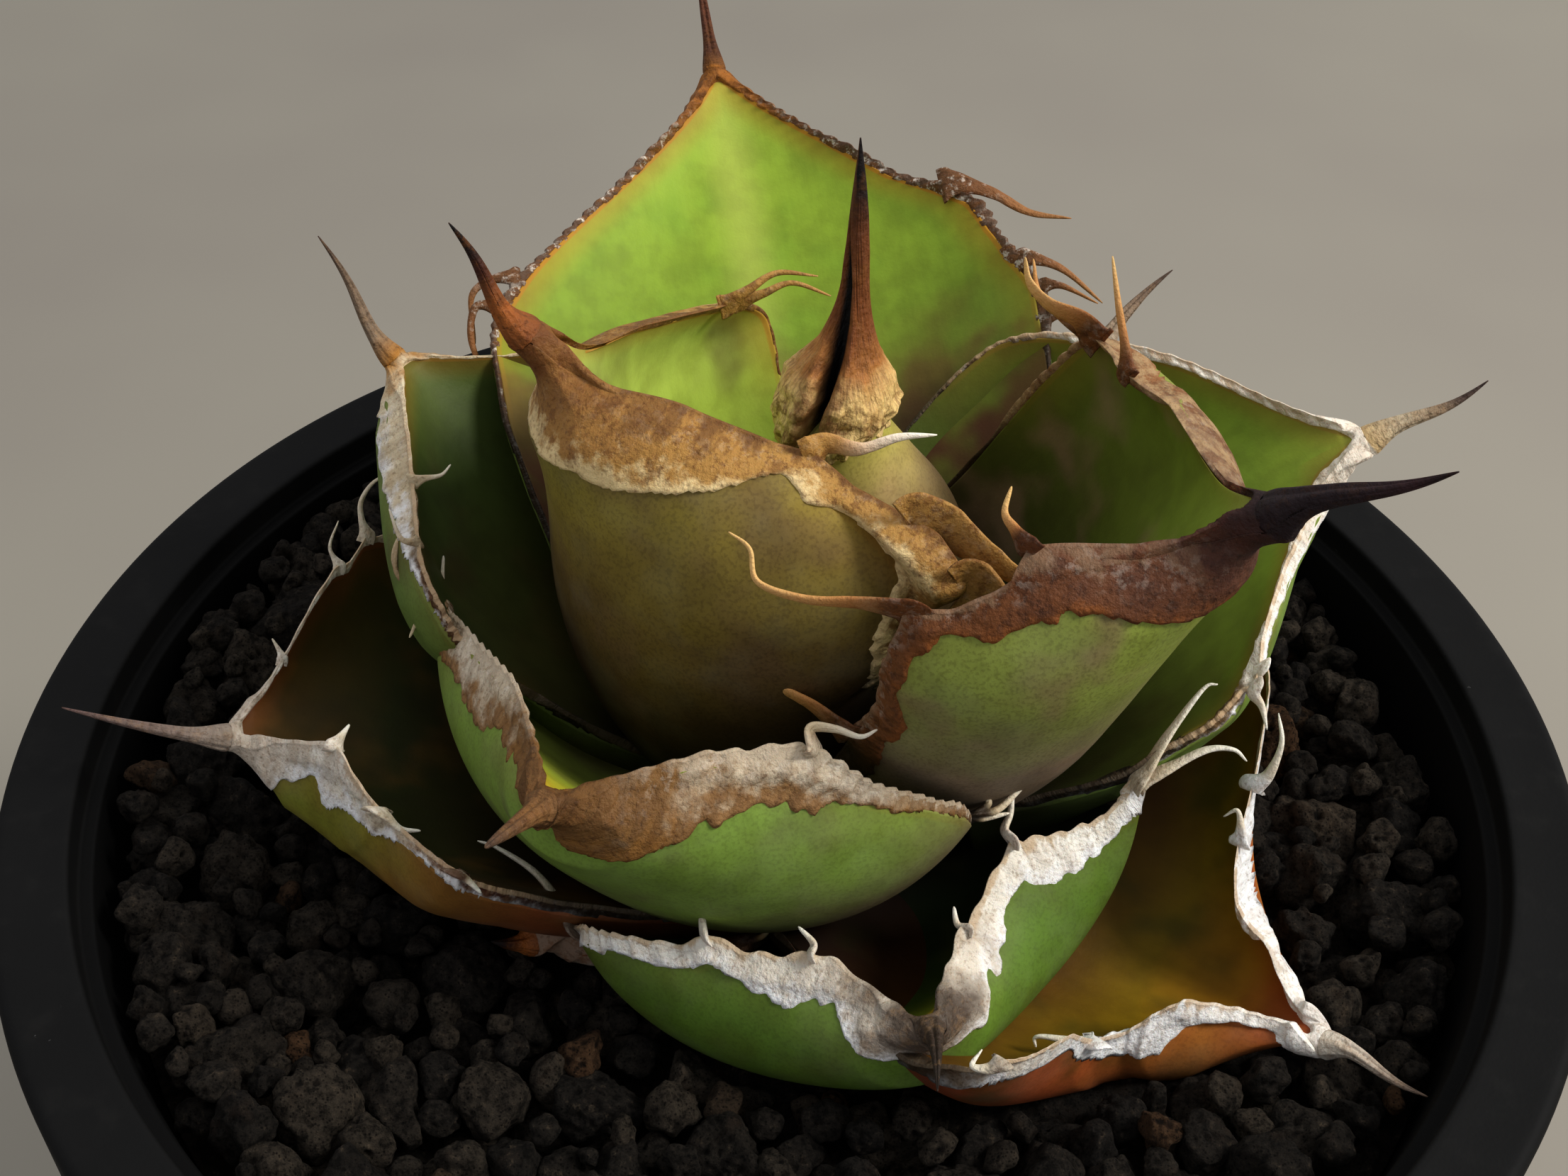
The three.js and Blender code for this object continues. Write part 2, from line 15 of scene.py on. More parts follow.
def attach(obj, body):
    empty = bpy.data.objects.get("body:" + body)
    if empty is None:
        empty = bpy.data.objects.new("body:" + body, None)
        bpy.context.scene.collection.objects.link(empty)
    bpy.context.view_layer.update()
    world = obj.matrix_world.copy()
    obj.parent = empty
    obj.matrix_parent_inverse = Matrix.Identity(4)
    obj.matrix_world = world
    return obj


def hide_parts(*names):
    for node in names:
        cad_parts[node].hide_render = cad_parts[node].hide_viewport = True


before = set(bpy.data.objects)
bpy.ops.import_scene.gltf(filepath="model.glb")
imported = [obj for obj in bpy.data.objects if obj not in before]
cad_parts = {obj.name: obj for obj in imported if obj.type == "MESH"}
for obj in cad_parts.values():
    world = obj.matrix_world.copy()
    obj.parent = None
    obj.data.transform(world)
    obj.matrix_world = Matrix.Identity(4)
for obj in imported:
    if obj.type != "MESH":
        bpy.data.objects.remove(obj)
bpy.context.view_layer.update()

# ---- Driving dimensions, as in the model's source ----

MM = 0.001
POT_HEIGHT = 105
RIM_RADIUS = 60
LIP_RADIUS = 54.4  # inner edge of the rim's flat top
LIP_DROP = 9
STEP_DEPTH = 2.5  # the ledge inside the lip
STEP_WIDTH = 1.2
WALL = 2.2
BODY_TOP_RADIUS = 55.8
BODY_BASE_RADIUS = 44
FLOOR_THICKNESS = 3
DRAIN_HOLES = 6
DRAIN_RADIUS = 4
DRAIN_CIRCLE = 29
SOIL_TOP = POT_HEIGHT - 9.5
STEM = np.array([3.0, 3.0])
EDGE = 0.7  # thickness of a leaf at its margin, without its horn; 1 in the model's source
FLESH_TAPER = 0.55  # share of its thickness that a blade loses on its way to the tip
BLADE_TIP = 0.8  # least half width of a blade

# ---- Numbers ----


def mix(a, b, share):
    return a + (b - a) * share


def smooth(x, low=0.0, high=1.0):
    """0 below low, 1 above high, and a soft step between them."""
    t = np.clip((x - low) / (high - low), 0, 1)
    return t * t * (3 - 2 * t)


def knots(pairs, x):
    """The value at x on a line through (x, value) pairs."""
    xs, values = zip(*pairs)
    return np.interp(x, xs, values)


def unit(vectors):
    return vectors / np.linalg.norm(vectors, axis=-1, keepdims=True)


def heading(az, slope=0.0):
    a, e = np.radians(az), np.radians(slope)
    return np.array([np.cos(e) * np.cos(a), np.cos(e) * np.sin(a), np.sin(e)])


def noise(points, size, seed=0):
    """Smooth random values from -1 to 1 at points, which change over about `size` mm."""
    places = np.asarray(points, float) / size + 31.7
    cells = np.floor(places).astype(np.int64)
    parts = places - cells
    parts = parts * parts * (3 - 2 * parts)
    total = 0
    for corner in product((0, 1), repeat=3):
        key = cells + np.array(corner)
        mixed = (key[..., 0] * 73856093) ^ (key[..., 1] * 19349663) ^ (key[..., 2] * 83492791)
        mixed = mixed ^ (seed * 2654435761)
        mixed = ((mixed ^ (mixed >> 13)) * 1274126177) & 0x7FFFFFFF
        value = (mixed ^ (mixed >> 16)) % 65536 / 32767.5 - 1
        weight = np.prod(np.where(corner, parts, 1 - parts), axis=-1)
        total = total + value * weight
    return total


def catmull(points, steps):
    """A smooth line through points."""
    p = np.asarray(points, float)
    p = np.vstack([2 * p[0] - p[1], p, 2 * p[-1] - p[-2]])
    out = []
    for i in range(1, len(p) - 2):
        t = np.linspace(0, 1, steps, endpoint=False)[:, None]
        a, b, c, d = p[i - 1], p[i], p[i + 1], p[i + 2]
        square, cube = 2 * a - 5 * b + 4 * c - d, 3 * b - a - 3 * c + d
        out.append(0.5 * (2 * b + (c - a) * t + square * t**2 + cube * t**3))
    return np.vstack(out + [p[-2:-1]])


def polar(r, angle, z=0.0):
    """Points at radius r and angle round the Z axis, at height z."""
    return np.stack(np.broadcast_arrays(r * np.cos(angle), r * np.sin(angle), z), -1)


def oval(centre, side, front, wide, high, angle):
    """Rings of points round centres, which reach `wide` along side and `high` along front."""
    across = (wide * np.cos(angle))[..., None] * side[:, None]
    return centre[:, None] + across + (high * np.sin(angle))[..., None] * front[:, None]


# ---- Meshes ----


class Shape:
    """Points, faces and named per-point vectors, gathered for one mesh."""

    def __init__(self):
        self.points, self.faces, self.data, self.count = [], [], {}, 0

    def add(self, points, faces, **data):
        self.points.append(np.asarray(points, float).reshape(-1, 3))
        self.faces.append(np.asarray(faces, np.int64).reshape(-1, 4) + self.count)
        for name, values in data.items():
            self.data.setdefault(name, []).append(np.asarray(values, float).reshape(-1, 3))
        self.count += len(self.points[-1])

    def rings(self, points, **data):
        """A closed tube of rings, with both its ends drawn to a point."""
        n, m = points.shape[:2]
        ring, k = np.meshgrid(np.arange(n - 1), np.arange(m), indexing="ij")
        after = (k + 1) % m
        sides = np.stack([ring * m + k, ring * m + after, (ring + 1) * m + after, (ring + 1) * m + k], -1)
        k = np.arange(m)
        after = (k + 1) % m
        tip = np.full(m, n * m)
        first = np.stack([after, k, tip, tip], -1)
        last = np.stack([k + (n - 1) * m, after + (n - 1) * m, tip + 1, tip + 1], -1)

        def capped(values):
            return np.vstack([values.reshape(-1, 3), values[0].mean(0), values[-1].mean(0)])

        faces = np.vstack([sides.reshape(-1, 4), first, last])
        self.add(capped(points), faces, **{name: capped(values) for name, values in data.items()})


def new_object(name, shape, material=None):
    """An object of a shape's points and faces. A face whose last two corners are one is a triangle."""
    faces = [f[:3] if f[2] == f[3] else f for f in np.vstack(shape.faces).tolist()]
    mesh = bpy.data.meshes.new(name)
    mesh.from_pydata((np.vstack(shape.points) * MM).tolist(), [], faces)
    if material:
        mesh.materials.append(material)
    made = bpy.data.objects.new(name, mesh)
    bpy.context.scene.collection.objects.link(made)
    return made


def build(name, shape, material, replaced):
    """A visible piece in the row frame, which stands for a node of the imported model."""
    piece = new_object(name, shape, material)
    mesh = piece.data
    for key, values in shape.data.items():
        attribute = mesh.attributes.new(key, "FLOAT_VECTOR", "POINT")
        attribute.data.foreach_set("vector", np.vstack(values).astype(np.float32).ravel())
    mesh.polygons.foreach_set("use_smooth", [True] * len(mesh.polygons))
    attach(piece, "root")
    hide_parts(replaced)
    return piece


# ---- Materials ----


def linear(hex_colour):
    """A colour written as in a picture, as the linear values that Blender works with."""
    rgb = [int(hex_colour[i : i + 2], 16) / 255 for i in (0, 2, 4)]
    return [c / 12.92 if c < 0.04045 else ((c + 0.055) / 1.055) ** 2.4 for c in rgb] + [1.0]


class Nodes:
    """A material's node tree, built from the shader backwards."""

    def __init__(self, name, roughness, **sockets):
        self.material = bpy.data.materials.new(name)
        self.material.use_nodes = True
        self.tree = self.material.node_tree
        self.shader = self.tree.nodes["Principled BSDF"]
        self.shader.inputs["Roughness"].default_value = roughness
        for socket, value in sockets.items():
            self.shader.inputs[socket.replace("_", " ")].default_value = value

    def node(self, kind, _properties=None, **inputs):
        """A node with its sockets fed by name, or by place as i0, i1 and on."""
        made = self.tree.nodes.new("ShaderNode" + kind)
        for key, value in (_properties or {}).items():
            setattr(made, key, value)
        for key, value in inputs.items():
            socket = int(key[1:]) if key[0] == "i" and key[1:].isdigit() else key
            self.feed(made.inputs[socket], value)
        return made

    def feed(self, socket, value):
        if isinstance(value, bpy.types.NodeSocket):
            self.tree.links.new(value, socket)
        else:
            socket.default_value = value

    def parts(self, attribute):
        vector = self.node("Attribute", {"attribute_name": attribute}).outputs["Vector"]
        return self.node("SeparateXYZ", Vector=vector).outputs

    def place(self):
        return self.node("TexCoord").outputs["Object"]

    def noise(self, size, detail=3.0, vector=None, rough=0.55):
        """Noise that changes over about `size` mm."""
        scale = 1 / size / (1 if vector is not None else MM)
        source = vector if vector is not None else self.place()
        made = self.node("TexNoise", Vector=source, Scale=scale, Detail=detail, Roughness=rough)
        return made.outputs["Fac"]

    def step(self, value, low, high, to_low=0.0, to_high=1.0):
        """A soft step from to_low to to_high, while the value goes from low to high."""
        kind = {"interpolation_type": "SMOOTHSTEP"}
        made = self.node("MapRange", kind, Value=value, i1=low, i2=high, i3=to_low, i4=to_high)
        return made.outputs["Result"]

    def maths(self, kind, a, b=0.0):
        return self.node("Math", {"operation": kind}, i0=a, i1=b).outputs["Value"]

    def times(self, a, b):
        return self.maths("MULTIPLY", a, b)

    def vector(self, x, y):
        return self.node("CombineXYZ", X=x, Y=y).outputs["Vector"]

    def ramp(self, value, stops):
        made = self.node("ValToRGB", Fac=value)
        elements = made.color_ramp.elements
        while len(elements) < len(stops):
            elements.new(0.5)
        for element, (position, colour) in zip(elements, stops):
            element.position = position
        for element, (position, colour) in zip(elements, stops):
            element.color = linear(colour)
        return made.outputs["Color"]

    def blend(self, share, a, b, kind="MIX"):
        made = self.node("Mix", {"data_type": "RGBA", "blend_type": kind})
        self.feed(made.inputs["Factor"], share)
        self.feed(made.inputs["A"], linear(a) if isinstance(a, str) else a)
        self.feed(made.inputs["B"], linear(b) if isinstance(b, str) else b)
        return made.outputs["Result"]

    def tinted(self, a, colour):
        return self.blend(1.0, a, colour, "MULTIPLY")

    def shade(self, share, a, colour):
        """A colour multiplied by another where share is 1."""
        return self.blend(share, a, self.tinted(a, colour))

    def bump(self, *layers):
        """Bump from (height, distance in mm, strength) layers."""
        normal = None
        for height, distance, strength in layers:
            made = self.node("Bump", Height=height, Distance=distance * MM, Strength=strength)
            if normal is not None:
                self.feed(made.inputs["Normal"], normal)
            normal = made.outputs["Normal"]
        self.feed(self.shader.inputs["Normal"], normal)

    def colour(self, value):
        self.feed(self.shader.inputs["Base Color"], value)
        return self.material


def flesh_material(name, upper, lower, margin, flush=("7a5a4c", 0.0), vein=0.0, freckles=0.2):
    """Succulent skin: colours from root to tip on each face, a tinted margin, a flush, a powdery bloom, and
    painted shade that darkens it near the root.
    """
    n = Nodes(
        name, 0.58, Specular_IOR_Level=0.3,
        Subsurface_Weight=0.08, Subsurface_Scale=0.002, Subsurface_Radius=(1.0, 0.9, 0.2),
    )
    s, edge, face = n.parts("leaf")
    along, across, _ = n.parts("mm")
    wobble = n.times(n.maths("SUBTRACT", n.noise(9), 0.5), 0.25)
    length = n.maths("ADD", s, wobble)
    under = n.step(face, 0.3, 0.7)
    skin = n.blend(under, n.ramp(length, upper), n.ramp(length, lower))
    blotch = n.step(n.noise(7, 2), 0.48, 0.72)
    skin = n.blend(n.times(blotch, flush[1]), skin, flush[0])
    mottle = n.step(n.noise(3, 4), 0.35, 0.7, 0.0, 0.3)
    skin = n.shade(mottle, skin, "a89c80")
    lanes = n.vector(n.times(along, 0.12), across)
    streak = n.noise(0.9, 3, lanes)
    skin = n.shade(n.step(streak, 0.35, 0.75, 0.0, 0.08), skin, "a8a880")
    if vein:
        middle = n.times(n.step(n.maths("ABSOLUTE", across), 3.5, 0.0), n.step(s, 0.35, 0.7))
        skin = n.blend(n.times(middle, vein), skin, "d8dc78")
    freckle = n.step(n.noise(0.26, 3), 0.45, 0.66, 0.0, freckles)
    skin = n.shade(n.times(freckle, under), skin, "887258")
    bloom = n.times(n.step(n.noise(5, 4), 0.42, 0.7, 0.0, 0.1), under)
    skin = n.blend(bloom, skin, "9a9c88")
    far = n.step(s, 0.35, 0.65)
    tint = n.times(n.times(n.step(edge, 4.0, 0.0), far), n.step(face, 0.7, 0.2, 0.1, 0.4))
    line = n.times(n.step(edge, 0.8, 0.3), n.step(face, 0.9, 0.5, 0.2, 0.8))
    skin = n.blend(n.maths("MAXIMUM", tint, n.times(line, far)), skin, margin)
    # Painted shade: the skin goes nearly black towards the root, where the leaves cover one another.
    skin = n.blend(n.step(s, 0.3, 0.08, 0.0, 0.75), skin, "120c06")
    n.bump((streak, 0.2, 0.08), (n.noise(0.26, 3), 0.05, 0.35), (n.noise(3.5, 2), 0.5, 0.2))
    return n.colour(skin)


def horn_material(
    name, band, pale, edge, spine, tooth=("b8905c", "e6d4b0"), ribs=0.5, fringe=(0.35, 0.9),
    mottle=("6e4a28", 0.5), fleck_and_glint=0.3, far=None,
):
    """Dry horn: coloured along the leaf and its spine, another colour towards its lip, ribbed and mottled,
    with pale flecks that are partly painted highlights, and painted shade towards its root. far: another
    colour for the side past the midrib."""
    n = Nodes(name, 0.6, Specular_IOR_Level=0.35, Subsurface_Weight=0.05, Subsurface_Scale=0.001)
    length, share, thorn = n.parts("horn")
    along, across, _ = n.parts("mm")
    drift = n.times(n.maths("SUBTRACT", n.noise(2.5, 4), 0.5), 0.16)
    position = n.times(n.maths("ADD", length, drift), 0.5)
    stops = [(0.5 * s, colour) for s, colour in band] + [(0.51 + 0.49 * t, colour) for t, colour in spine]
    horn = n.ramp(position, stops)
    on_leaf = n.step(length, 1.05, 0.93)
    ragged = n.maths("ADD", share, n.step(n.noise(1.6, 5, rough=0.65), 0.3, 0.75, -0.25, 0.25))
    horn = n.blend(n.times(n.step(ragged, *fringe, 0.0, 0.9), on_leaf), horn, pale)
    marks = n.times(n.step(n.noise(1.0, 6, rough=0.7), 0.5, 0.6), mottle[1])
    horn = n.blend(n.times(marks, n.step(ragged, 1.0, 0.5, 0.35, 1.0)), horn, mottle[0])
    lanes = n.vector(along, n.times(across, 0.2))
    rib = n.noise(0.55, 4, lanes)
    horn = n.shade(n.step(rib, 0.62, 0.3, 0.0, ribs), horn, "80684c")
    pit = n.step(n.noise(0.35, 3), 0.54, 0.68)
    horn = n.shade(n.times(pit, 0.4), horn, "8a6a48")
    fore = n.step(length, 0.97, 0.84)
    # Pale flecks on the crest: partly flakes of the horn, partly painted highlights.
    glinting_flecks = n.times(n.step(n.noise(0.8, 5, rough=0.7), 0.5, 0.62, 0.0, fleck_and_glint), n.step(share, 0.55, 0.1))
    horn = n.blend(n.times(glinting_flecks, fore), horn, "f2eadc")
    wavy = n.maths("ADD", share, n.step(rib, 0.3, 0.7, -0.15, 0.15))
    border = n.times(n.step(wavy, 0.2, 0.02), fore)
    horn = n.blend(n.times(border, 0.75), horn, edge)
    if far:
        patches = n.step(n.noise(1.3, 5, rough=0.7), 0.4, 0.62, 0.15, 0.85)
        beyond = n.times(n.step(across, 0.5, 3.0), n.step(length, 0.93, 0.86))
        horn = n.blend(n.times(patches, beyond), horn, far)
    # Painted shade: the horn goes dark towards the root, down among the leaves.
    horn = n.blend(n.step(length, 0.55, 0.35, 0.0, 0.85), horn, "1e180c")
    horn = n.blend(n.step(thorn, 0.02, 0.35), horn, n.ramp(thorn, [(0.2, tooth[0]), (0.8, tooth[1])]))
    fibres = n.vector(n.times(along, 0.2), n.times(across, 2.0))
    n.bump(
        (rib, 0.5, 1.5 * ribs), (n.noise(0.9, 5, rough=0.65), 0.35, 0.7),
        (n.noise(0.6, 3, fibres), 0.12, 0.3), (n.noise(0.3, 3), 0.14, 0.6),
    )
    return n.colour(horn)


def lava_material(name):
    """Dull crushed lava, full of fine pores, with a brown stone here and there. Its pores and pits hold
    painted shade, and its grain painted highlights and shade.
    """
    n = Nodes(name, 0.95, Specular_IOR_Level=0.2)
    tone, pit, _ = n.parts("stone")
    tones = [(0.0, "26221e"), (0.55, "39332c"), (0.86, "4b4339"), (0.93, "4a3929"), (1.0, "604630")]
    stone = n.ramp(tone, tones)
    grain = n.noise(0.9, 7, rough=0.75)
    # Painted shade in the grain's low places and painted highlights on its high points, which the bump raises.
    stone = n.blend(n.step(grain, 0.36, 0.56), n.tinted(stone, "747068"), stone)
    stone = n.blend(n.step(grain, 0.56, 0.72, 0.0, 0.45), stone, "80705c")
    rust = n.step(n.noise(3, 3), 0.56, 0.75, 0.0, 0.25)
    stone = n.blend(rust, stone, "4a382a")
    pores = n.node("TexVoronoi", {"feature": "F1"}, Vector=n.place(), Scale=1 / (0.32 * MM), Randomness=1.0)
    hole = n.step(pores.outputs["Distance"], 0.1, 0.4)
    # Painted shade: the pores and the stones' bubble pits are darkened.
    dark = n.times(n.maths("ADD", hole, 0.001), n.step(pit, 0.3, 0.1))
    stone = n.shade(n.maths("SUBTRACT", 1.0, dark), stone, "7a7470")
    n.bump((hole, 0.15, 0.6), (grain, 0.6, 1.0), (n.noise(0.3, 4, rough=0.7), 0.25, 1.0))
    return n.colour(stone)


def plastic_material(name):
    """Matte black moulded plastic with dust and a few pale specks. The inside above the lava is painted
    blacker, as painted shade.
    """
    n = Nodes(name, 0.7, Specular_IOR_Level=0.16)
    base = n.ramp(n.noise(14, 4), [(0.3, "101010"), (0.7, "151515")])
    marks = n.times(n.step(n.noise(0.9, 4, rough=0.7), 0.7, 0.78), n.step(n.noise(9, 2), 0.5, 0.66))
    base = n.blend(n.times(marks, 0.5), base, "8c8c8c")
    x, y, z = n.node("SeparateXYZ", Vector=n.place()).outputs
    below = n.step(z, POT_HEIGHT * MM, (POT_HEIGHT - LIP_DROP) * MM, 0.25, 1.0)
    base = n.blend(n.times(n.step(n.noise(3, 5), 0.5, 0.8), below), base, "2a2927")
    sides = n.step(z, (POT_HEIGHT - 1) * MM, (POT_HEIGHT - 3) * MM)
    base = n.blend(n.times(n.step(n.noise(18, 3), 0.35, 0.65, 0.2, 0.6), sides), base, "211f1d")
    out = n.maths("SQRT", n.maths("ADD", n.times(x, x), n.times(y, y)))
    # Painted shade: the inner wall above the lava is blended towards black.
    inside = n.step(out, (LIP_RADIUS + 0.3) * MM, (LIP_RADIUS - 0.3) * MM, 0.0, 0.85)
    base = n.blend(n.times(inside, n.step(z, (SOIL_TOP - 3) * MM, SOIL_TOP * MM)), base, "000000")
    n.bump((n.noise(0.35, 2), 0.05, 0.4), (n.noise(5, 2), 0.3, 0.15))
    return n.colour(base)


def woody_material(name):
    n = Nodes(name, 0.85)
    wood = n.ramp(n.noise(1.5, 5), [(0.3, "3a2a1c"), (0.7, "7a6248")])
    n.bump((n.noise(0.8, 5), 0.6, 0.6))
    return n.colour(wood)


def floor_material(name):
    """A plain pale floor, with the faintest unevenness."""
    n = Nodes(name, 0.8)
    n.bump((n.noise(2, 3), 0.1, 0.1))
    return n.colour(n.ramp(n.noise(160, 3), [(0.35, "999389"), (0.65, "a09b8f")]))


# ---- Leaves ----


@dataclass
class Tooth:
    """A hooked tooth: its side, its place along the margin, and its way as out, up and along in mm."""

    side: int
    s: float
    way: list
    base: float = 1.3  # half the width of its foot, along the margin
    fin: float = 0.8  # how far the margin itself rises to it
    pale: float = 1.0  # how far it fades to the tooth's tip colour
    blade: float = 0.0  # 0 for a thin hook, 1 for a broad papery blade
    girth: float = 1.0


@dataclass
class Leaf:
    """One leaf. Its midrib runs from its root to its tip, and its section is an arc round the cup."""

    number: str
    az: float
    reach: float  # the tip, out from the stem's axis and up from the rim
    rise: float
    root_out: float = 7
    root_up: float = -5
    swing: float = 0  # how far its root is turned from az
    climb: tuple = (10, 40)  # slope at its root and tip
    turn: float = 0  # how far its tip is turned from az
    pull: float = 0.38  # how long it keeps those directions, as a share of its length
    half: float = 23  # greatest half width
    widest: float = 0.58
    root_width: float = 0.75
    point: float = 1  # 0 for a drawn-out tip, more for a full one
    cup: tuple = (65, 50)  # half the angle of its section at root and tip
    roll: float = 0
    thick: float = 8
    spine: tuple = (10, 0, 25)  # length, turn from az, slope at its end
    bend: tuple = (0, 0)  # how far the spine sways sideways and up on its way
    knee: float = 0.4  # how far the spine goes on straight, as a share of its length
    neck: float = 1.2  # radius of the spine at the leaf's tip
    blunt: float = 0.85  # how the spine thins: 1 evenly, less only near its end
    taper: float = 0.965  # where the lower face starts to draw in to the spine
    # Looks, each as (s, mm) knots by side: how far the horn's edge stands out from the smooth outline and from
    # the flesh, how wide the horn is on the lower face, and how far its crest leans out of the cup.
    wave: dict = field(default_factory=dict)
    crest: dict = field(default_factory=dict)
    band: dict = field(default_factory=dict)
    flip: dict = field(default_factory=dict)
    rim: float = 0.3  # how wide the horn is on the upper face, past its crest
    ribs: float = 0.25  # height of the horn's ribs, which also scallop its edge
    flute: float = 1.0  # mm from one rib to the next
    teeth: list = field(default_factory=list)
    sprouts: int = 0  # small teeth a side, besides those

    def __post_init__(self):
        root = self.from_stem(self.az + self.swing, self.root_out, self.root_up)
        tip = self.from_stem(self.az, self.reach, self.rise)
        pull = np.linalg.norm(tip - root) * self.pull
        self.path = np.array([
            root,
            root + heading(self.az + self.swing, self.climb[0]) * pull,
            tip - heading(self.az + self.turn, self.climb[1]) * pull,
            tip,
        ])
        steps = self.centre(np.linspace(0, 1, 60))
        self.length = np.linalg.norm(np.diff(steps, axis=0), axis=1).sum()
        self.seed = int(self.number)

    @staticmethod
    def from_stem(az, out, up):
        place = heading(az) * out
        return np.array([STEM[0] + place[0], STEM[1] + place[1], POT_HEIGHT + up])

    def centre(self, s):
        s = np.asarray(s, float)[..., None]
        a, b, c, d = self.path
        return a * (1 - s) ** 3 + 3 * b * s * (1 - s) ** 2 + 3 * c * s * s * (1 - s) + d * s**3

    def frame(self, s):
        """Directions along the leaf, across it and up from its upper face."""
        s = np.asarray(s, float)
        t = s[..., None]
        a, b, c, d = self.path
        along = unit((b - a) * (1 - t) ** 2 + 2 * (c - b) * t * (1 - t) + (d - c) * t * t)
        az = np.radians(self.az + self.swing * (1 - s))
        across = np.stack([-np.sin(az), np.cos(az), 0 * az], -1)
        across = unit(across - along * np.sum(across * along, -1, keepdims=True))
        roll = np.radians(self.roll)
        across = across * np.cos(roll) + np.cross(along, across) * np.sin(roll)
        return along, across, np.cross(along, across)

    def half_width(self, s):
        rise = np.sin(np.clip(s / self.widest, 0, 1) * np.pi / 2)
        low = self.half * mix(self.root_width, 1, rise)
        x = (1 - s) / (1 - self.widest)
        high = self.half * (self.point * (x**3 - 2 * x**2 + x) + x * x * (3 - 2 * x))
        return np.maximum(np.where(s < self.widest, low, high), BLADE_TIP)

    def depth(self, s, x):
        w = self.half_width(s)
        share = np.minimum(np.abs(x) / np.where(x < 0, self.drawn(s, -1), self.drawn(s, 1)), 1)
        return EDGE + np.minimum(self.thick * (1 - FLESH_TAPER * s**1.5) * (1 - share**2.2), w * 0.5)

    def drawn(self, s, side):
        """Half width of the blade's thick part, which goes in with the margin but not out."""
        wave = by_side(self.wave, s, side, 0) * self.fade(s)
        return np.maximum(self.half_width(s) + np.minimum(wave, 0), BLADE_TIP)

    @staticmethod
    def fade(s):
        """Brings waves down to nothing at the root and at the tip."""
        return smooth(s, 1.0, 0.9) * smooth(s, 0.0, 0.12)

    def at(self, s, x, d):
        """The point at s, x mm across the curved face and d mm under it."""
        _, across, up = self.frame(s)
        radius = self.half_width(s) / np.radians(mix(self.cup[0], self.cup[1], s))
        angle = x / radius
        out = (radius + d) * np.sin(angle)
        rise = radius - (radius + d) * np.cos(angle)
        return self.centre(s) + across * out[..., None] + up * rise[..., None]

    def along_edge(self, s, side, lane):
        """A place for noise that runs along one side's margin."""
        return np.stack([s * self.length, side * 40.0 + 0 * s, 0 * s + self.seed * 9 + lane * 50], -1)

    def rib(self, s, side):
        """Flutes and bumps of the horn, which also scallop its edge."""
        place = self.along_edge(s, side, 0)
        turn = 2 * np.pi * s * self.length / self.flute + 2.6 * noise(place, 2.6, 1)
        bumps = 0.55 * np.sin(turn) + 0.7 * noise(place, 1.6, 2) + 0.3 * noise(place, 0.5, 3)
        return self.ribs * smooth(s, 0.4, 0.62) * bumps

    def outer(self, s, side):
        """Half width to the horn's edge on one side, with waves, scallops and a fin under each tooth."""
        wave = by_side(self.wave, s, side, 0) + self.rib(s, side)
        wave = wave + 0.25 * noise(self.along_edge(s, side, 1), 4.0, 4)
        for tooth in self.teeth:
            fin = tooth.fin * np.exp(-((np.abs(s - tooth.s) * self.length / tooth.base) ** 1.2))
            wave = wave + np.where(side == tooth.side, fin, 0)
        width = np.maximum(self.half_width(s) + wave * self.fade(s), BLADE_TIP)
        return np.hypot(width, self.neck * smooth(s, 0.82, 1.0))

    def fleshy(self, s, side):
        """Half width of the flesh on one side."""
        crest = by_side(self.crest, s, side, 0.5 + 1.2 * self.ribs) * mix(0.5, 1, smooth(s, 1.0, 0.92))
        out = by_side(self.wave, s, side, 0) * smooth(s, 1.0, 0.9) - crest
        return np.maximum(self.half_width(s) + out * smooth(s, 0.0, 0.12), 0.3)

    def sway(self, s, side, x):
        """How far the blade waves out of its smooth surface near the margin."""
        share = np.clip(np.abs(x) / self.half_width(s), 0, 1.1) ** 7
        swing = 0.5 * noise(self.along_edge(s, side, 2), 5.0, 5) * share
        return swing * smooth(s, 1.0, 0.85) * smooth(s, 0.1, 0.4)

    def skin(self, s, u, face, lift):
        """Points of the flesh at share u across, lifted off it. face: 0 upper, 1 lower, else on the edge."""
        side = np.where(u < 0, -1, 1)
        x = u * self.fleshy(s, side) + side * lift * (1 - np.abs(2 * face - 1)) * 1.2
        depth = self.depth(s, x)
        place = np.stack([s * self.length, x, face * 40 + self.seed * 7], -1)
        soft = 0.2 * noise(place, 7.0, 6) * (1 - np.abs(u)) ** 0.5
        return self.at(s, x, face * depth + (2 * face - 1) * (lift + soft) + self.sway(s, side, x))

    def shell(self, s, u, face, lift):
        """Points of the horn: over the flesh as its skin, and beyond it as a thin crest."""
        side = np.where(u < 0, -1, 1)
        outer, flesh = self.outer(s, side), self.fleshy(s, side)
        x = u * outer
        thick = self.depth(s, side * np.minimum(np.abs(x), flesh))
        crest = flesh + np.clip(outer - flesh, 0.3, 0.9)
        over = smooth(np.abs(x), flesh - 0.15, crest) * smooth(s, 1.0, 0.93)
        thick = mix(np.hypot(thick, 1.3 * self.neck * smooth(s, 0.92, 1.0)), CREST_THICKNESS, over)
        depth = face * thick + (2 * face - 1) * lift + over * self.curl(s, side)
        return self.at(s, x, depth + self.sway(s, side, x))

    def curl(self, s, side):
        """How far the crest's edge leans out of the leaf's surface."""
        wide = self.outer(s, side) - self.fleshy(s, side)
        return 0.6 * noise(self.along_edge(s, side, 3), 3.5, 7) * wide + by_side(self.flip, s, side, 0)

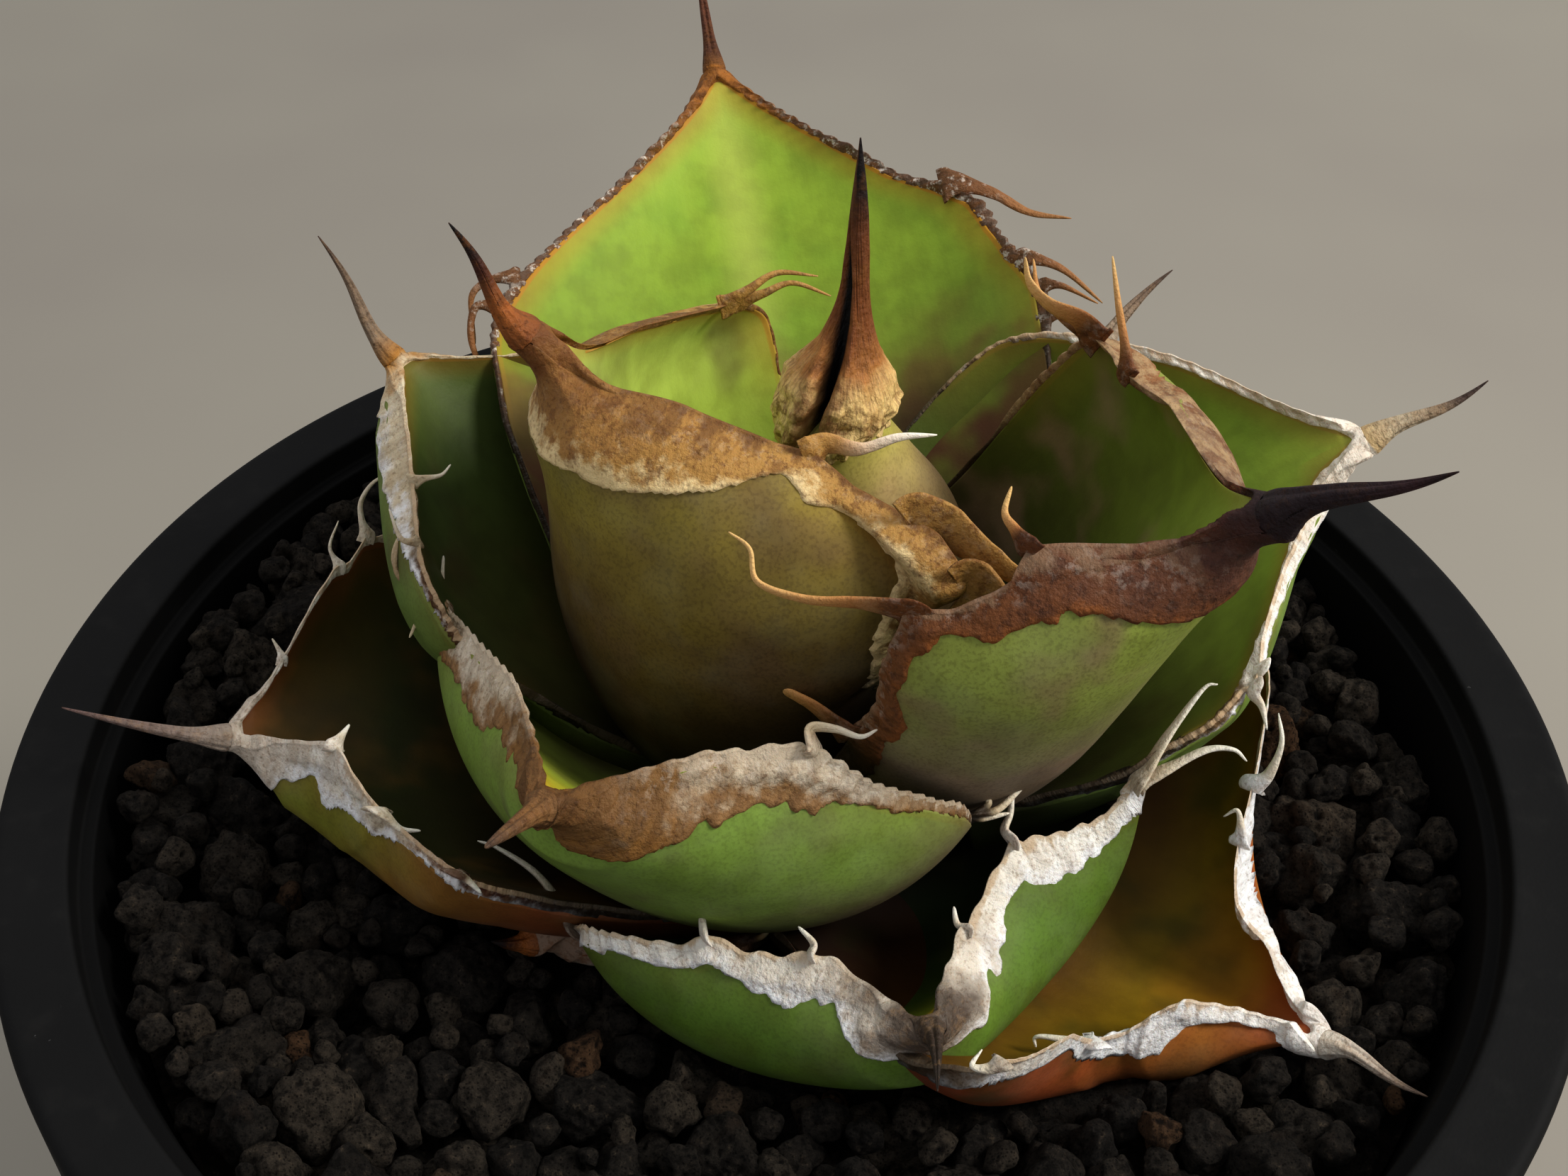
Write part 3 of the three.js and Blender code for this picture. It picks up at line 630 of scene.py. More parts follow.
    def lean(self, s, side, x):
        """The shift of the crest's edge from the smooth surface, for what stands on it."""
        up = self.at(s, x * side, np.array(0.0)) - self.at(s, x * side, np.array(1.0))
        return -up * (self.curl(s, side) + self.sway(s, side, x))

    def band_width(self, s, side):
        """How wide the horn is on the lower face of one side."""
        place = self.along_edge(s, side, 4)
        jag = 1 + 0.2 * noise(place, 3.2, 8) + 0.15 * noise(place, 1.1, 9) + 0.06 * noise(place, 0.5, 10)
        return by_side(self.band, s, side, 1.5) * jag


def both(pairs):
    """The same knots on each side."""
    return {1: pairs, -1: pairs}


def by_side(table, s, side, default):
    """Knots of each side, read at s."""
    value = np.full(np.broadcast(s, side).shape, float(default))
    for sign, pairs in table.items():
        value = np.where(side == sign, knots(pairs, s), value)
    return value


def ring_places(upper, lower, crowd):
    """Places round a leaf's section as u and face, crowded towards the margins."""
    def across(steps):
        half = 1 - np.linspace(0, 1, steps + 1) ** crowd
        return np.concatenate([half[:-1], -half[::-1]])

    edge = np.array([0.25, 0.5, 0.75])
    u = np.concatenate([-across(upper), [1, 1, 1], across(lower), [-1, -1, -1]])
    face = np.concatenate([np.zeros(2 * upper + 1), edge, np.ones(2 * lower + 1), edge[::-1]])
    return u, face


TIP_START = 0.965  # where a leaf's section starts to close on the root of its spine
FLESH_END = 0.992  # the flesh ends here, inside the horn


def leaf_flesh(leaf):
    """The fleshy blade, which ends inside its horn."""
    u, face = ring_places(26, 34, 1.5)
    S, U, F = np.broadcast_arrays(np.linspace(0, FLESH_END, 150)[:, None], u[None], face[None])
    sink = 0.5 * smooth(S, TIP_START, FLESH_END) + 0.5 * smooth(S, leaf.taper, 0.975) * (F > 0.5)
    points, _ = draw_in(leaf, leaf.skin(S, U, F, -sink), S, U, F, 0.6)
    width = leaf.fleshy(S, np.where(U < 0, -1, 1))
    looks = np.stack([S, width * (1 - np.abs(U)), F], -1)
    shape = Shape()
    shape.rings(points, leaf=looks, mm=np.stack([S * leaf.length, U * width, F], -1))
    return shape


CREST_THICKNESS = 0.28
HORN_THICKNESS = 0.3  # above the flesh that it covers
HORN_LIP = 0.25  # half the width of the step at its edge
HORN_HIDDEN = 0.45  # how deep it runs under the flesh elsewhere


def draw_in(leaf, points, S, U, F, girth=1.0):
    """Points of a leaf's skin drawn in to the round root of its spine, and their angles round it."""
    on_edge = (F > 0.01) & (F < 0.99)
    phase = np.where(F < 0.5, 1, -1) * np.pi / 2 * (1 - U)
    phase = np.where(on_edge, np.where(U > 0, 0, np.pi) + np.where(U > 0, 1, -1) * (0.5 - F) * 0.3, phase)
    s = S[:, :1]
    _, across, up = leaf.frame(s[:, 0])
    share = smooth(s, TIP_START, 1.0)
    low = np.hypot(leaf.depth(s, 0 * s), 1.3 * leaf.neck * smooth(s, 0.92, 1.0))
    centre = mix(leaf.at(s, 0 * s, 0.5 * low), spine_path(leaf, np.array([0.0])), share[..., None])
    size = girth * leaf.neck * mix(1.1, 1.0, share)
    disc = oval(centre[:, 0], across, up, size, size, phase)
    drawn = smooth(s, leaf.taper, 0.985 if leaf.taper < 0.9 else 1.0)
    rounded = np.where(F < 0.5, mix(share, drawn, np.abs(U) ** 4), drawn)
    return mix(points, disc, rounded[..., None]), phase[-1]


def leaf_horn(leaf):
    """The horny margin, which laps over both faces, with its end spine and its teeth, in one mesh."""
    u, face = ring_places(20, 48, 1.6)
    s = np.concatenate([np.linspace(0.04, 0.9, 260, endpoint=False), np.linspace(0.9, 1, 50)])
    S, U, F = np.broadcast_arrays(s[:, None], u[None], face[None])
    side = np.where(U < 0, -1, 1)
    outer, flesh = leaf.outer(S, side), leaf.fleshy(S, side)
    x = np.abs(U) * outer
    band = leaf.band_width(S, side)
    rim = leaf.rim * (1 + 0.5 * noise(leaf.along_edge(S, side, 5), 1.2, 11))
    upper = x - flesh + rim + 4 * smooth(S, 0.978, 0.999)
    place = leaf.at(S, U * outer, F * 3.0)
    ragged = 0.45 * noise(place, 2.0, 16) + 0.3 * noise(place, 0.8, 17)
    ragged = ragged * np.clip(band / 3, 0.15, 1)
    inside = np.where(F < 0.5, upper, band - outer + x + 4 * smooth(S, 0.96, 0.995) + ragged)
    on_edge = (F > 0.01) & (F < 0.99)
    cover = np.where(on_edge | (x > flesh), 1, smooth(inside, -HORN_LIP, HORN_LIP)) * smooth(S, 0.06, 0.14)
    away = outer - x
    place = leaf.at(S, U * outer, F * 2.0)
    knob = 0.6 * noise(place, 1.5, 12) + 0.4 * noise(place, 0.7, 13)
    full = mix(0.04, HORN_THICKNESS, smooth(away, 0, 1.4)) * np.where(F < 0.5, 0.5, 1)
    rough = (leaf.rib(S, side) * 0.6 * smooth(away, 3.2, 0.8) + 0.14 * knob) * smooth(away, 0.0, 0.5)
    lift = mix(-HORN_HIDDEN, full + rough, cover)
    points = leaf.shell(S, U, F, lift)

    points, a = draw_in(leaf, points, S, U, F)
    spine, T = spine_rings(leaf, a)
    share = np.clip(away / np.maximum(band, 0.5), 0, 1) * np.where(F < 0.5, 0.3, 1)
    share = mix(0.3, share, smooth(S, 1.0, 0.9))
    horn = np.concatenate([np.stack([S, share, 0 * S], -1), np.stack([1 + T, 0.3 + 0 * T, 0 * T], -1)])
    mm = np.concatenate([
        np.stack([S * leaf.length, U * outer, F * 20], -1),
        np.stack([leaf.length + T * leaf.spine[0], np.broadcast_to(a[None] * 1.5, T.shape), 0 * T], -1),
    ])
    shape = Shape()
    shape.rings(np.concatenate([points, spine]), horn=horn, mm=mm)
    for tooth in leaf.teeth + sprouts(leaf):
        add_tooth(shape, leaf, tooth)
    return shape


def spine_rings(leaf, a):
    """Rings of the end spine past the leaf's tip, grooved on top, and their places along it."""
    t = np.linspace(0, 1, 70)
    path = spine_path(leaf, t)
    tangent = unit(np.gradient(path, axis=0))
    across = leaf.frame(1.0)[1]
    side = unit(across - tangent * (tangent @ across)[:, None])
    radius = leaf.neck * (1 - t) ** leaf.blunt * mix(1.0, 0.68, smooth(t, 0, 0.35)) + 0.04
    groove = 1 - 0.4 * np.exp(-(((a - np.pi / 2) / 0.4) ** 2))[None] * smooth(t, 0.02, 0.3)[:, None]
    along = t[:, None] * leaf.spine[0] * 0.3
    place = np.stack(np.broadcast_arrays(along, 3 * np.cos(a)[None], 3 * np.sin(a)[None]), -1)
    r = radius[:, None] * groove * (1 + 0.08 * noise(place, 0.8, 14 + leaf.seed))
    rings = oval(path, side, np.cross(tangent, side), r, r, a)[1:]
    return rings, np.broadcast_to(t[1:, None], rings.shape[:2])


def spine_path(leaf, t):
    """Centre line of the end spine from the leaf's tip, with its sway."""
    length, aim, slope = leaf.spine
    tip = leaf.centre(1.0)
    along, across, up = leaf.frame(1.0)
    root = tip - up * 1.02 * leaf.neck
    end = tip + heading(leaf.az + aim, slope) * length
    knee = root + along * leaf.knee * length
    t = t[..., None]
    sway = np.sin(2 * np.pi * t) * 0.5 * (across * leaf.bend[0] + up * leaf.bend[1])
    return root * (1 - t) ** 2 + 2 * knee * t * (1 - t) + end * t * t + sway


def sprouts(leaf):
    """Small teeth between the long ones."""
    random = np.random.default_rng(leaf.seed)
    teeth = []
    for side in (-1, 1):
        for i in range(leaf.sprouts):
            s = 0.25 + 0.6 * (i + random.uniform(0.2, 0.8)) / max(leaf.sprouts, 1)
            size, sweep, lean = random.uniform(0.8, 1.8), random.uniform(-0.7, 0.1), random.uniform(-0.1, 0.5)
            if all(t.side != side or abs(t.s - s) > 0.07 for t in leaf.teeth):
                way = [(0.5 * size, 0.1 * size, 0), (size, lean * size, sweep * size)]
                teeth.append(Tooth(side, s, way, 0.8, 0))
    return teeth


def add_tooth(shape, leaf, tooth):
    """A flat hooked tooth, which rises out of its fin on the margin."""
    s, side = np.array(tooth.s), np.array(tooth.side)
    outer = leaf.outer(s, side)
    lean = leaf.lean(s, side, outer)
    foot, inner = (leaf.at(s, side * (outer - inset), np.array(0.15)) + lean for inset in (0, 1))
    along = leaf.frame(s)[0]
    out = unit(foot - inner)
    up = np.cross(along, out) * tooth.side
    way = [(-0.7, 0, 0), (-0.1, 0, 0)] + [(o - tooth.fin * 0.6, h, a) for o, h, a in tooth.way]
    line = catmull([foot + o * out + h * up + a * along for o, h, a in way], 10)
    tangent = unit(np.gradient(line, axis=0))
    run = np.concatenate([[0], np.cumsum(np.linalg.norm(np.diff(line, axis=0), axis=1))]) - 0.7
    t = np.clip(run / run[-1], 0, 1)
    wide = [along]
    for direction in tangent:
        wide.append(unit(wide[-1] - direction * (direction @ wide[-1])))
    wide = np.array(wide[1:])
    thin = np.cross(tangent, wide)
    slim = tooth.girth * np.clip(0.07 * run[-1], 0.22, 0.62) * (1 - t) ** 0.7 + 0.04
    a = slim + 0.6 * tooth.base * np.exp(-np.maximum(run, 0) / (0.75 * tooth.base))
    a = mix(a, tooth.base * (1 - t) ** 0.8 + 0.05, tooth.blade)
    b = np.minimum(0.26 * (1 - t) ** 0.5 + 0.04, 0.9 * slim + 0.05) * smooth(run, -1.4, 0.3)
    angle = np.linspace(0, 2 * np.pi, 14, endpoint=False)
    dent = 1 + 0.12 * noise(np.stack([run, 0 * run + tooth.s * 90, 0 * run], -1), 0.9, 15)
    ring = oval(line, wide, thin, (a * dent)[:, None], b[:, None], angle)
    T = np.repeat(t[:, None], len(angle), 1)
    horn = np.stack([tooth.s + 0 * T, 0.3 + 0 * T, tooth.pale * T * smooth(run, 0, 1.5)[:, None]], -1)
    mm = np.stack([tooth.s * leaf.length + np.cos(angle) * a[:, None], run[:, None] + 0 * T, 0 * T], -1)
    shape.rings(ring, horn=horn, mm=mm)


LEAVES = [
    Leaf(
        "02", az=186, reach=20, rise=37, root_out=5, root_up=-0.5, swing=-2, climb=(49, 59), turn=-9,
        pull=0.52, half=23.5, widest=0.64, point=0.62, cup=(98, 81), roll=12.5, spine=(9.5, 6, 57),
        bend=(0.5, -0.4), neck=1.35, taper=0.87,
        wave={1: [
            (0.55, 0), (0.61, 1.2), (0.66, 2.6), (0.72, 3.0), (0.76, 1.2), (0.79, 1.1), (0.815, 0.4),
            (0.87, 0), (0.96, -0.3),
        ]},
        crest={
            1: [(0, 0.5), (0.58, 0.7), (0.66, 2.8), (0.72, 3.2), (0.76, 1.4), (0.79, 0.9), (1, 0.5)],
            -1: [(0, 0.15), (0.72, 0.2), (0.76, 0.7), (1, 0.6)],
        },
        band={
            1: [
                (0.1, 2.0), (0.45, 3), (0.66, 3.4), (0.75, 2.4), (0.8, 2.0), (0.815, 3.8), (0.835, 5.6),
                (0.86, 6.9), (0.9, 9),
            ],
            -1: [(0.1, 0.1), (0.7, 0.2), (0.76, 1.4), (0.8, 3), (0.84, 6), (0.87, 6.6), (0.9, 9)],
        },
        flip={1: [(0.56, 0), (0.62, 1.2), (0.67, 2.6), (0.72, 2.8), (0.755, 0.8), (0.775, 0)]}, ribs=0.05,
        flute=3.0,
        teeth=[
            Tooth(1, 0.795, [(1.6, 0.3, 0), (3.4, -0.5, -0.9), (6, -0.7, -1.2), (8.4, -1, -2.1)], 1.5),
            Tooth(1, 0.73, [(1.6, -0.8, -1), (3.2, -2.6, -3), (5.9, -5.3, -6.2)], 2.4, 0, 0.15, 0.7),
            Tooth(1, 0.66, [(0.8, -1.5, -1.5), (1.5, -2.8, -3.8), (1.0, -3.4, -6)], 2.6, 0, 0.1, 0.9),
            Tooth(-1, 0.746, [(2, 0.3, 0), (4.3, 0.6, 0), (6.5, 2.2, -1.4)], 1.0, 0.3, 0.2, 0, 0.6),
            Tooth(-1, 0.77, [(2, 0.4, 0.6), (4.5, 0.3, 0.8), (7.1, 1.5, -0.2)], 1.2, 0.4, 0.2, 0, 0.6),
            Tooth(-1, 0.42, [(1.5, 0.6, 0), (3.2, 1.6, -0.8)], 0.6, 0.2, 0.7, 0, 0.6),
        ],
    ),
    Leaf(
        "03", az=325, reach=30, rise=35.5, root_out=5.5, root_up=-0.5, swing=21, climb=(33, 49), pull=0.39,
        half=19.5, widest=0.68, root_width=0.8, point=0.8, cup=(71, 73), roll=6.5, thick=6.5,
        spine=(12, 6, 31), bend=(-0.4, 0.9), neck=1.6, taper=0.84,
        wave={
            -1: [
                (0.2, 0.8), (0.47, 0.4), (0.6, -0.2), (0.71, 0.5), (0.765, 1.6), (0.785, 0.3), (0.83, 0.1),
                (0.855, 1.6), (0.89, 0.9), (0.92, 0.3), (0.97, 0),
            ],
            1: [(0.7, 0), (0.8, 0.3), (0.86, -0.6), (0.9, -0.6), (0.95, -0.4)],
        },
        crest={
            1: [
                (0, 0.3), (0.74, 0.5), (0.77, 1.3), (0.8, 2.3), (0.83, 1.7), (0.85, 0.25), (0.95, 0.2),
                (1, 0.3),
            ],
            -1: [(0, 0.6), (1, 0.6)],
        },
        band={
            -1: [
                (0.1, 1.6), (0.47, 2.2), (0.63, 1.6), (0.73, 1.8), (0.76, 2.6), (0.8, 2.2), (0.843, 3.2),
                (0.853, 4.6), (0.865, 7), (0.88, 11),
            ],
            1: [(0.1, 1), (0.5, 1.5), (0.8, 2.2), (0.85, 4.5), (0.865, 7), (0.88, 11)],
        },
        rim=0.05, ribs=0.12, flute=1.6,
        teeth=[
            Tooth(-1, 0.857, [(1.6, 0.5, -0.1), (2.6, 1.2, -0.3), (3.2, 2.6, 0.3)], 1.4),
            Tooth(
                -1, 0.765,
                [(3, -0.5, -1), (6, -1.4, -2.3), (9, -1.5, -3.1), (10.4, 0, -2.6), (12.0, 0.5, -2.9)], 1.9,
            ),
            Tooth(-1, 0.47, [(1.6, 0.9, -0.3), (3.3, 1.7, -0.5), (6, 2.3, -1), (10.3, 2.2, -2.3)], 1.9),
            Tooth(1, 0.81, [(1.5, -0.6, 0.7), (4, -1.5, 1.7), (6.8, -2.6, 2.9)], 1.0, 0.4, 0.8, 0, 0.7),
            Tooth(
                1, 0.755, [(2, 0.3, 0.4), (4.2, 0.9, -0.2), (6.2, 0.9, -0.2), (7.7, 0.3, 0.5)], 1.3, 0.8, 1.0,
                0.15, 1.9,
            ),
            Tooth(1, 0.73, [(2, 0.5, -0.2), (4.6, 0.7, 0), (6.6, -0.2, 0.8)], 1.0, 0.4, 0.5, 0, 0.6),
        ],
    ),
    Leaf(
        "04", az=102, reach=51.5, rise=29, root_up=-4.5, climb=(57, 43), turn=3, pull=0.37, half=24.5,
        widest=0.5, cup=(55, 27), roll=-4, spine=(12, 2, 42), neck=1.0,
        wave={-1: [
            (0.5, 0), (0.56, -0.8), (0.62, -0.2), (0.67, 0.9), (0.72, 0.2), (0.76, -0.4), (0.85, 0.2),
            (0.95, 0.4),
        ]},
        crest={
            1: [(0, 0.15), (0.5, 0.2), (0.6, 0.8), (1, 0.8)],
            -1: [(0, 0.15), (0.36, 0.2), (0.46, 0.8), (1, 0.8)],
        },
        band={
            1: [(0.1, 0.2), (0.5, 0.3), (0.6, 1.2), (0.9, 2), (0.96, 3)],
            -1: [(0.1, 0.2), (0.4, 1), (0.9, 2), (0.96, 3)],
        },
        ribs=0.26,
        teeth=[
            Tooth(
                -1, 0.71, [(1.7, -0.6, -0.4), (3.6, -2.2, -1.6), (5.6, -4, -3.6), (8.6, -5.4, -5)], 1.6, 0.8,
                0.6,
            ),
            Tooth(-1, 0.55, [(1.2, -0.3, -0.4), (2.8, -1.8, -1.7), (4.4, -4.2, -4.6)], 1.0, 0.4, 0.7, 0, 0.7),
            Tooth(-1, 0.5, [(1.4, -0.6, -0.5), (3.2, -2.5, -2.3)], 0.8, 0.3, 0.7, 0, 0.7),
            Tooth(-1, 0.455, [(1.6, -0.8, -0.6), (3.8, -2.8, -2.5)], 0.8, 0.3, 0.7, 0, 0.7),
            Tooth(1, 0.641, [(1.8, -1.2, 0), (2.8, -2.8, -1), (2, -4.3, -4.4)], 0.9, 0.5, 0.6, 0, 0.7),
            Tooth(
                1, 0.58, [(1.6, -0.8, 0), (1.6, -1.9, -2.4), (0, -2.8, -5.4), (-1.2, -3.6, -9)], 0.8, 0.4,
                0.7, 0, 0.5,
            ),
        ],
    ),
    Leaf(
        "05", az=235, reach=32, rise=18.5, root_out=6.5, root_up=-3.5, swing=-9, climb=(5, 45), turn=-4,
        pull=0.41, half=23.5, widest=0.52, root_width=0.7, point=1.1, cup=(32, 58), roll=10, thick=7,
        spine=(8, 14, 20), knee=0.05, neck=1.25, blunt=0.5,
        wave={
            1: [
                (0.3, 0), (0.6, -0.6), (0.67, -0.2), (0.72, 0.5), (0.775, 2.1), (0.82, 2.7), (0.845, 2),
                (0.875, 2.3), (0.9, 1.7), (0.945, 1.2), (0.98, 0),
            ],
            -1: [(0.3, 0), (0.5, 0.3), (0.62, 0), (0.74, 0.8), (0.85, 2), (0.9, 1.4), (0.96, 1)],
        },
        crest={
            1: [(0, 0.1), (0.5, 0.15), (0.62, 0.4), (0.72, 0.9), (1, 0.9)],
            -1: [(0, 0.2), (0.45, 0.3), (0.6, 0.9), (1, 0.8)],
        },
        band={
            1: [
                (0.12, 0.1), (0.5, 0.2), (0.62, 0.6), (0.72, 1.5), (0.77, 3.2), (0.8, 4.5), (0.836, 4.9),
                (0.863, 5.5), (0.9, 5.3), (0.93, 5), (0.96, 6),
            ],
            -1: [
                (0.12, 0.2), (0.4, 0.5), (0.5, 1.6), (0.61, 2.6), (0.74, 3.2), (0.82, 3.8), (0.91, 2.4),
                (0.955, 1.6), (0.985, 5),
            ],
        },
        ribs=0.27, flute=0.75,
        teeth=[
            Tooth(1, 0.80, [(1.2, 1.2, 0.3), (2.3, 0.2, -0.4), (3.1, -1.2, -0.9), (4.2, -1.6, -1.1)], 1.7),
            Tooth(1, 0.26, [(1.6, -0.4, -0.8), (3.2, 0.2, -1.7), (4.7, 1, -2.7)], 0.9),
            Tooth(1, 0.27, [(1.3, 0.3, -0.6), (1.2, 1.3, -0.5), (0.3, 2.1, -0.2)], 0.7),
            Tooth(1, 0.24, [(1, -0.6, -0.5), (2.7, -1, -1.4)], 0.7),
            Tooth(-1, 0.516, [(1.7, 0.4, 0.5), (3.5, 1.3, 0.8)], 0.6, 0.3, 0.9, 0, 0.6),
            Tooth(
                -1, 0.578, [(1.6, -1, 0.9), (3.2, -2, 1.9), (4.6, -1.8, 2.4), (6.4, -0.2, 2.5)], 0.8, 0.4,
                0.3, 0, 0.6,
            ),
            Tooth(-1, 0.6, [(1.6, -1.4, 0.6), (3.4, -2.2, 1.9), (5.6, -1.2, 2.4)], 0.7, 0.3, 0.2, 0, 0.5),
            Tooth(-1, 0.62, [(0.6, -1.6, 0.6), (-0.8, -3.2, 0.7)], 0.6, 0.2, 0.3, 0, 0.6),
        ],
    ),
    Leaf(
        "06", az=13, reach=41, rise=20.5, swing=6, climb=(18, 30), turn=-10, widest=0.56, point=0.77,
        cup=(68, 40), roll=9.5, thick=6.5, spine=(10, 0, 21), bend=(0.3, 0.5),
        wave={
            -1: [
                (0.3, 0), (0.5, -1.5), (0.65, -2.6), (0.75, -3), (0.8, -3.4), (0.85, -2.4), (0.9, -2.2),
                (0.96, -0.8),
            ],
            1: [(0.7, 0), (0.8, 0.7), (0.88, 0.2)],
        },
        crest={
            -1: [(0, 0.3), (0.8, 0.5), (0.9, 0.9), (1, 0.5)],
            1: [(0, 0.15), (0.55, 0.2), (0.68, 0.7), (0.8, 1.2), (0.9, 1.0), (1, 0.5)],
        },
        band={
            1: [(0.1, 0.2), (0.55, 0.3), (0.7, 1.2), (0.9, 2.2), (0.96, 4)],
            -1: [(0.1, 0.4), (0.7, 0.5), (0.85, 0.9), (0.91, 2.2), (0.96, 5)],
        },
        ribs=0.12,
        teeth=[
            Tooth(-1, 0.665, [(0.8, -0.5, -0.3), (0.9, -1.5, -0.4), (1.2, -3, -1.1)], 1.0),
            Tooth(-1, 0.69, [(0.9, -0.5, -1.2), (1, -0.6, -2.6)], 0.9),
        ],
    ),
    Leaf(
        "07", az=154, reach=38, rise=21, climb=(11, 49), turn=-6, pull=0.34, half=22.5, cup=(76, 46),
        roll=-2.5, spine=(11, -2, 53), bend=(0.5, -0.2), neck=1.0,
        wave={1: [(0, -5), (0.4, -5), (0.6, -1), (0.68, 0)]},
        crest={
            1: [(0, 0.15), (0.68, 0.2), (0.74, 0.6), (0.8, 1.6), (0.87, 1.3), (0.93, 0.5)],
            -1: [(0, 0.2), (1, 0.3)],
        },
        band={
            1: [
                (0.1, 0.1), (0.68, 0.2), (0.74, 0.6), (0.79, 1.6), (0.84, 2.5), (0.88, 2.4), (0.93, 1.2),
                (0.97, 3),
            ],
            -1: [(0.1, 0.2), (0.9, 0.8), (0.96, 3)],
        },
        ribs=0.15,
        teeth=[
            Tooth(1, 0.829, [(0.3, 0.9, -0.3), (0.2, 2, -0.8), (0, 3, -0.6)], 0.8, 0.3, 0.5, 0, 0.7),
            Tooth(1, 0.758, [(0.5, -0.8, 1), (-0.2, -0.2, 3.1)], 0.7, 0.3, 0.4, 0, 0.6),
        ],
    ),
    Leaf(
        "08", az=281, reach=32, rise=2.5, root_out=8.5, root_up=-6, climb=(-12, 57), turn=10, pull=0.44,
        widest=0.55, cup=(31, 70), roll=8, thick=7, spine=(8, -10, 21), knee=0.15, neck=1.1,
        wave={
            -1: [
                (0.3, 0), (0.43, 0), (0.69, 1.2), (0.77, 1.1), (0.79, 1.9), (0.82, 1.3), (0.87, 1.5),
                (0.91, 1.8), (0.93, 1.5), (0.975, 0.6),
            ],
            1: [
                (0.4, 0.8), (0.55, 0), (0.67, -0.5), (0.74, 0.6), (0.78, 1.6), (0.81, 2.5), (0.85, 1.9),
                (0.885, 0.2), (0.895, 1.2), (0.93, 0.7), (0.97, 0.6),
            ],
        },
        band={
            -1: [
                (0.12, 0.2), (0.4, 0.3), (0.48, 0.6), (0.65, 1.3), (0.7, 1.7), (0.76, 1.8), (0.81, 2.4),
                (0.856, 3), (0.906, 3.4), (0.94, 4), (0.965, 6),
            ],
            1: [
                (0.12, 0.8), (0.45, 1), (0.58, 1.3), (0.7, 1.9), (0.776, 3.3), (0.85, 3.2), (0.91, 2.8),
                (0.94, 3.4), (0.965, 6),
            ],
        },
        ribs=0.3, flute=0.9,
        teeth=[
            Tooth(
                -1, 0.434, [(2.1, 0.6, -1.3), (4.3, 0.9, -2.6), (7.1, 0.5, -3.7), (8.4, 0.0, -4.1)], 1.2, 0.8,
                0.8, 0, 0.8,
            ),
            Tooth(-1, 0.79, [(1.2, 0.4, -0.3), (2, 1, -0.5), (2.7, 1.9, -0.7), (1.8, 3.4, -0.6)], 1.5),
            Tooth(-1, 0.886, [(1, 0.5, -0.1), (2.4, 0, -0.5)], 0.9),
            Tooth(1, 0.885, [(0.6, 0.8, -0.2), (1.8, 1.1, -0.3)], 0.8),
            Tooth(1, 0.81, [(1.2, 0.5, -0.2), (2.4, 0, -0.1), (4.6, -0.2, 0.3)], 1.6),
            Tooth(1, 0.521, [(1.6, -0.5, -0.2), (4.2, -1, -0.8), (8, -2, -1.5), (8.8, -2.7, -1.3)], 1.6),
            Tooth(1, 0.494, [(2, -1.2, 0.2), (4.4, -3, 0.3), (5.4, -4.5, 0.9), (5.2, -5.5, 1.6)], 1.4),
        ],
    ),
    Leaf(
        "09", az=53, reach=38, rise=13, root_out=8, root_up=-7, climb=(5, 45), spine=(11, -8, 20),
        crest=both([(0, 0.15), (0.7, 0.2), (0.9, 0.5), (1, 0.5)]),
        band=both([(0.1, 0.2), (0.7, 0.4), (0.9, 1.6), (0.96, 4)]), ribs=0.12, sprouts=3,
    ),
    Leaf(
        "10", az=191, reach=45.5, rise=5, root_out=8.5, root_up=-7, swing=5, climb=(5, 24), turn=11, pull=0.4,
        half=25, point=1.1, cup=(30, 58), roll=3, spine=(12, -6, 14), bend=(0.4, 0.3), neck=1.0,
        wave={
            1: [
                (0, 0), (0.15, -2.5), (0.3, -4), (0.45, -4), (0.56, -2.8), (0.64, -1.6), (0.7, -2),
                (0.75, -2), (0.785, -1), (0.81, 0.9), (0.84, 2), (0.88, 3), (0.92, 1.7), (0.96, 0.7),
            ],
            -1: [
                (0.5, 0), (0.76, 0.7), (0.8, 2.3), (0.82, 1.4), (0.85, 2.5), (0.88, 2), (0.92, 0),
                (0.95, -0.6),
            ],
        },
        crest={
            1: [(0, 0.35), (0.74, 0.4), (0.8, 1.2), (0.86, 1.6), (0.92, 0.8), (1, 0.5)],
            -1: [(0, 0.3), (1, 0.4)],
        },
        band={
            1: [
                (0.12, 0.3), (0.6, 0.6), (0.7, 0.5), (0.77, 0.8), (0.81, 2.8), (0.873, 4.6), (0.92, 3.2),
                (0.96, 2.2), (0.985, 5),
            ],
            -1: [(0.12, 0.4), (0.8, 0.7), (0.92, 0.8), (0.965, 4)],
        },
        ribs=0.15,
        teeth=[
            Tooth(1, 0.807, [(0.5, -0.4, -0.6), (0.4, -1.1, -1.7), (0.7, -1.1, -3)], 1.4),
            Tooth(1, 0.63, [(0.4, -0.2, -0.6), (0.5, -1, -1.9)], 1.2),
            Tooth(1, 0.888, [(0.4, 0.8, -0.4), (0.7, 1.8, -1)], 0.9),
            Tooth(
                -1, 0.8, [(1.4, -0.1, 0.7), (2.8, -0.2, 1), (4.5, 0, 0.4), (5.8, 0.4, -1.1)], 0.8, 0.4, 0.3,
                0, 0.45,
            ),
            Tooth(-1, 0.84, [(1.4, -0.3, 1), (3.6, -0.3, 0.8)], 0.6, 0.3, 0.3, 0, 0.5),
            Tooth(-1, 0.919, [(0.6, -0.2, 0.3), (1.4, -0.4, 0.9)], 0.5, 0.2, 0.4, 0, 0.6),
        ],
    ),
    Leaf(
